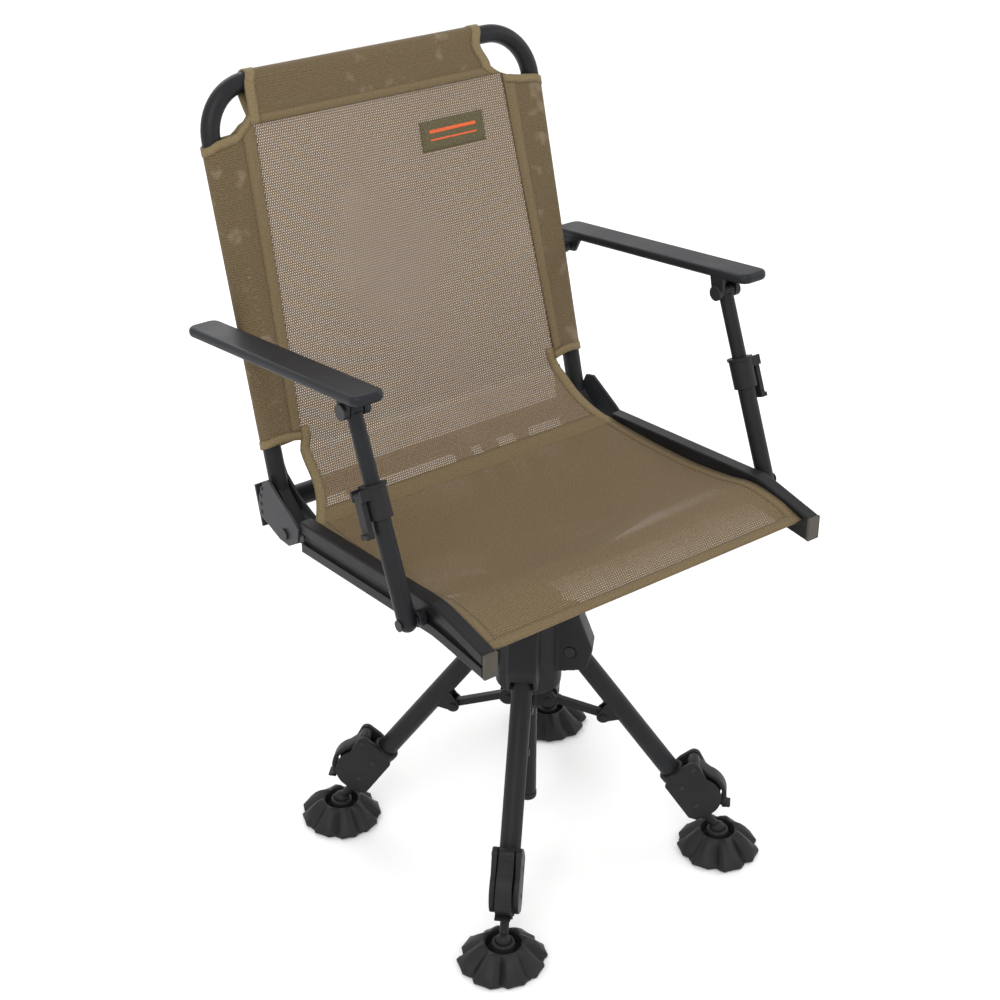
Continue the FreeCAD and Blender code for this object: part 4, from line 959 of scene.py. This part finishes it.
def addTurned(work, profile, steps, place=Matrix.Identity(4), closed=True):
    # a profile of (radius, height) turned about Z
    rings = []
    for radius, height in profile:
        if radius < 1e-6:
            rings.append([work.verts.new(place @ Vector((0, 0, height)))])
            continue
        rings.append([work.verts.new(place @ Vector((radius * math.cos(2 * math.pi * k / steps),
                                                     radius * math.sin(2 * math.pi * k / steps), height)))
                      for k in range(steps)])
    pairs = list(zip(rings, rings[1:]))
    if closed:
        pairs.append((rings[-1], rings[0]))
    for lower, upper in pairs:
        for k in range(steps):
            n = (k + 1) % steps
            if len(lower) == 1 and len(upper) > 1:
                work.faces.new((lower[0], upper[n], upper[k]))
            elif len(upper) == 1 and len(lower) > 1:
                work.faces.new((lower[k], lower[n], upper[0]))
            elif len(upper) > 1:
                work.faces.new((lower[k], lower[n], upper[n], upper[k]))


def arcPoints(centre, radius, start, end, count):
    return [(centre[0] + radius * math.cos(math.radians(start + (end - start) * k / count)),
             centre[1] + radius * math.sin(math.radians(start + (end - start) * k / count)))
            for k in range(count + 1)]


def hardPiece(name, work, place, node, bevel, angle=35, smoothAngle=32):
    # finish a worked mesh as the piece that stands for a CAD node
    bmesh.ops.transform(work, matrix=place, verts=work.verts)
    bmesh.ops.recalc_face_normals(work, faces=work.faces)
    mesh = bpy.data.meshes.new(name)
    work.to_mesh(mesh)
    work.free()
    piece = bpy.data.objects.new(name, mesh)
    scene.collection.objects.link(piece)
    mesh.materials.append(materials[finishOf[node]])
    soft = piece.modifiers.new("Edges", "BEVEL")
    soft.width = bevel
    soft.segments = 2
    soft.limit_method = "ANGLE"
    soft.angle_limit = math.radians(angle)
    settle(piece)
    shadeSmooth(piece, smoothAngle)
    standsFor(piece, node)


def standsFor(piece, node):
    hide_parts(node)
    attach(piece, bodyOf[node])


mudFoot = {"lobes": 8, "seed": 4,
           # share of a lobe, how far out, how high
           "stations": ((0.0, 0.865, 0.42), (0.07, 0.93, 0.70), (0.20, 1.0, 0.92), (0.46, 0.965, 1.16),
                        (0.72, 0.99, 0.92), (0.92, 0.92, 0.70)),
           # radius, height, and how strongly the lobes shape each ring, from the rim to the socket's floor
           "rings": ((0.0515, 0.0, 1.0), (0.056, 0.0022, 1.0), (0.0565, 0.0065, 1.0),
                     (0.0505, 0.0125, 1.0), (0.043, 0.0195, 0.85), (0.034, 0.0262, 0.6),
                     (0.029, 0.0295, 0.35), (0.0245, 0.0305, 0.1), (0.0215, 0.0285, 0.0),
                     (0.0205, 0.0145, 0.0), (0.0152, 0.0145, 0.0), (0.0142, 0.0275, 0.0),
                     (0.0132, 0.0296, 0.0), (0.0115, 0.0306, 0.0), (0.0102, 0.0305, 0.0),
                     (0.0099, 0.0298, 0.0), (0.0085, 0.0251, 0.0), (0.0050, 0.0216, 0.0)),
           "socketFloor": 0.0202}


def makeMudFoot(leg):
    # a lobed, faceted foot: each lobe has a raised middle and a valley on either side
    random.seed(mudFoot["seed"])
    lobes = mudFoot["lobes"]
    swing = [random.uniform(0.90, 1.0) for k in range(lobes)]
    tall = [random.uniform(0.86, 1.08) for k in range(lobes)]
    starts = [k + random.uniform(-0.13, 0.13) for k in range(lobes)]
    starts.append(starts[0] + lobes)
    spokes = []
    for lobe in range(lobes):
        for share, out, high in mudFoot["stations"]:
            inside = 0.05 < share < 0.95
            along = starts[lobe] + (starts[lobe + 1] - starts[lobe]) * share
            spokes.append((2 * math.pi * along / lobes, out * (swing[lobe] if inside else 1.0),
                           high * (tall[lobe] if inside else 1.0)))
    work = bmesh.new()
    rings = []
    for radius, height, strength in mudFoot["rings"]:
        ring = []
        for turn, out, high in spokes:
            r = radius * (1 - (1 - out) * strength)
            lift = 1 + (high - 1) * strength * min(1.0, height / 0.012)
            ring.append(work.verts.new((r * math.cos(turn), r * math.sin(turn), height * lift)))
        rings.append(ring)
    count = len(spokes)
    for lower, upper in zip(rings, rings[1:]):
        for k in range(count):
            n = (k + 1) % count
            work.faces.new((lower[k], lower[n], upper[n], upper[k]))
    top = work.verts.new((0, 0, mudFoot["socketFloor"]))
    bottom = work.verts.new((0, 0, 0.0))
    for k in range(count):
        n = (k + 1) % count
        work.faces.new((rings[-1][k], rings[-1][n], top))
        work.faces.new((rings[0][n], rings[0][k], bottom))
    hardPiece("mudFoot_" + leg, work, footPlace(leg), "foot_" + leg, 0.0006, angle=20, smoothAngle=24)


clampShape = {"halfWidth": 0.0175, "slot": 0.011, "pivot": (-0.031, 0.224), "round": (-0.012, 0.264),
              "roundRadius": 0.0285, "leverInner": 0.0298, "leverOuter": 0.0352, "leverHalf": 0.0095,
              "leverTip": [(-0.0285, 0.2945), (-0.0335, 0.3005), (-0.0365, 0.3000)],
              "upper": [(0.0145, 0.228), (0.0155, 0.283), (0.0085, 0.2915)],
              "lower": [(-0.014, 0.2165), (0.006, 0.222)],
              "stop": [(-0.013, 0.262), (-0.028, 0.268), (-0.030, 0.282), (-0.024, 0.289), (-0.013, 0.290)],
              "sleeve": [(0.01275, 0.2175), (0.0158, 0.2175), (0.0170, 0.2195), (0.0170, 0.2265),
                         (0.0162, 0.2285), (0.0164, 0.283), (0.0150, 0.2905), (0.0128, 0.2935),
                         (0.0111, 0.2935), (0.0111, 0.285), (0.01275, 0.284)],
              "screws": ((-0.031, 0.224), (-0.004, 0.272), (-0.004, 0.240)),
              "screwRadius": 0.0036, "screwHeight": 0.0012}


def makeLegClamp(leg):
    pivot, middle = clampShape["pivot"], clampShape["round"]
    cheek = clampShape["upper"] + arcPoints(middle, clampShape["roundRadius"], 92, 214, 16)
    cheek += arcPoints(pivot, 0.0085, 170, 275, 8) + clampShape["lower"]
    work = bmesh.new()
    for side in (-1, 1):
        low, high = sorted((side * clampShape["slot"], side * clampShape["halfWidth"]))
        addProfile(work, cheek, low, high)
    addTurned(work, clampShape["sleeve"], 48)
    # a stop between the cheeks that the lever closes on
    addProfile(work, clampShape["stop"], -clampShape["slot"], clampShape["slot"])
    hardPiece("legClamp_" + leg, work, legPlace(leg), "leg_clamp_" + leg, 0.0011)


def makeClampLever(leg):
    pivot, middle = clampShape["pivot"], clampShape["round"]
    inner = arcPoints(middle, clampShape["leverInner"], 216, 118, 18)
    outer = arcPoints(middle, clampShape["leverOuter"], 118, 212, 18)
    work = bmesh.new()
    half = clampShape["leverHalf"]
    # the bar runs on down between the cheeks to the eye on its pivot
    neckInner = [(pivot[0] + 0.0045, pivot[1] + 0.0015)]
    neckOuter = [(pivot[0] - 0.0050, pivot[1] - 0.0015)]
    addProfile(work, neckInner + inner + clampShape["leverTip"] + outer + neckOuter, -half, half)
    across = Matrix.Translation((pivot[0], 0, pivot[1])) @ Matrix.Rotation(math.pi / 2, 4, "X")
    for radius, reach, steps in ((0.0075, half, 28), (0.0024, clampShape["halfWidth"] - 0.0002, 20)):
        profile = [(0.0, -reach), (radius, -reach), (radius, reach), (0.0, reach)]
        addTurned(work, profile, steps, across, closed=False)
    hardPiece("clampLever_" + leg, work, legPlace(leg), "leg_lever_" + leg, 0.0009)


def makeCastHub():
    # the hub's CAD shape with its edges and corners filled like a casting
    work = bmesh.new()
    work.from_mesh(frame["nodes"]["leg_hub"].data)
    bmesh.ops.remove_doubles(work, verts=work.verts, dist=1e-6)
    mesh = bpy.data.meshes.new("castHub")
    work.to_mesh(mesh)
    work.free()
    piece = bpy.data.objects.new("castHub", mesh)
    scene.collection.objects.link(piece)
    mesh.materials.clear()
    mesh.materials.append(materials["mouldedNylon"])
    skin = piece.modifiers.new("Skin", "REMESH")
    skin.mode = "VOXEL"
    skin.voxel_size = 0.0014
    soften = piece.modifiers.new("Soften", "SMOOTH")
    soften.factor = 0.5
    soften.iterations = 6
    settle(piece)
    shadeSmooth(piece)
    standsFor(piece, "leg_hub")


def clampHeads(leg):
    place = legPlace(leg)
    spots = []
    for side in (-1, 1):
        facing = (place.to_3x3() @ Vector((0, side, 0))).normalized()
        for x, z in clampShape["screws"]:
            spots.append((place @ Vector((x, side * clampShape["halfWidth"], z)), facing))
    fastenerHeads("clampScrews_" + leg, spots, clampShape["screwRadius"], clampShape["screwHeight"],
                  bodyOf["leg_clamp_" + leg])


for leg in legAngles:
    makeMudFoot(leg)
    makeLegClamp(leg)
    makeClampLever(leg)
    clampHeads(leg)
makeCastHub()

hingeRivets = {"spots": ((0.1955, 0.5030), (0.1985, 0.4925), (0.1990, 0.4815), (0.1985, 0.4705)),
               "radius": 0.0028, "height": 0.0012}
for side, name in ((-1, "Left"), (1, "Right")):
    face = max(abs(corner.x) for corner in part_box("hinge_bracket_" + name.lower()))
    spots = [(Vector((side * face, y, z)), Vector((side, 0, 0))) for y, z in hingeRivets["spots"]]
    fastenerHeads("hingeRivets" + name, spots, hingeRivets["radius"], hingeRivets["height"], "seat")
print("feet, clamps, levers and hub made")


stage = {"floorHalf": 40.0, "floorColour": (0.97, 0.97, 0.97), "sky": 1.05}
lights = {
    # where, aimed at, size across and along, watts
    "keyLight": ((-1.6, -1.4, 2.6), (0, 0, 0.5), (1.6, 1.6), 30),
    "fillLight": ((2.2, -1.0, 1.8), (0, 0, 0.5), (1.8, 1.4), 12),
    "rimLight": ((0.6, 2.4, 2.2), (0, 0, 0.6), (1.6, 1.2), 20),
}
cameraSet = {"azimuth": -37.63, "elevation": 28.46, "distance": 2.18259, "lens": 66.74,
             "sideStep": -0.03542, "lookHeight": 0.48981}


def makeStage():
    half = stage["floorHalf"]
    corners = [(-half, -half, 0), (half, -half, 0), (half, half, 0), (-half, half, 0)]
    material, tree, shader, place = blankMaterial("studioFloor")
    shader.inputs["Base Color"].default_value = (*stage["floorColour"], 1.0)
    shader.inputs["Roughness"].default_value = 0.9
    floor = meshPiece("studioFloor", corners, [(0, 1, 2, 3)], [material])
    world = bpy.data.worlds.new("studio")
    scene.world = world
    world.use_nodes = True
    world.node_tree.nodes["Background"].inputs["Color"].default_value = (1, 1, 1, 1)
    world.node_tree.nodes["Background"].inputs["Strength"].default_value = stage["sky"]


def softLight(name, place, aim, size, power):
    data = bpy.data.lights.new(name, "AREA")
    data.shape = "RECTANGLE"
    data.size, data.size_y = size
    data.energy = power
    lamp = bpy.data.objects.new(name, data)
    scene.collection.objects.link(lamp)
    lamp.location = place
    lamp.rotation_euler = (Vector(aim) - Vector(place)).to_track_quat("-Z", "Y").to_euler()


def makeCamera():
    azimuth = math.radians(cameraSet["azimuth"])
    elevation = math.radians(cameraSet["elevation"])
    right = Vector((math.cos(azimuth), math.sin(azimuth), 0))
    back = Vector((math.sin(azimuth) * math.cos(elevation), -math.cos(azimuth) * math.cos(elevation),
                   math.sin(elevation)))
    target = right * cameraSet["sideStep"] + Vector((0, 0, cameraSet["lookHeight"]))
    data = bpy.data.cameras.new("studioCamera")
    data.lens = cameraSet["lens"]
    data.sensor_width = 36
    camera = bpy.data.objects.new("studioCamera", data)
    scene.collection.objects.link(camera)
    camera.location = target + back * cameraSet["distance"]
    camera.rotation_euler = (-back).to_track_quat("-Z", "Y").to_euler()
    scene.camera = camera


makeStage()
for lightName, values in lights.items():
    softLight(lightName, *values)
makeCamera()
scene.view_settings.view_transform = "Standard"
print("stage, lights and camera set")
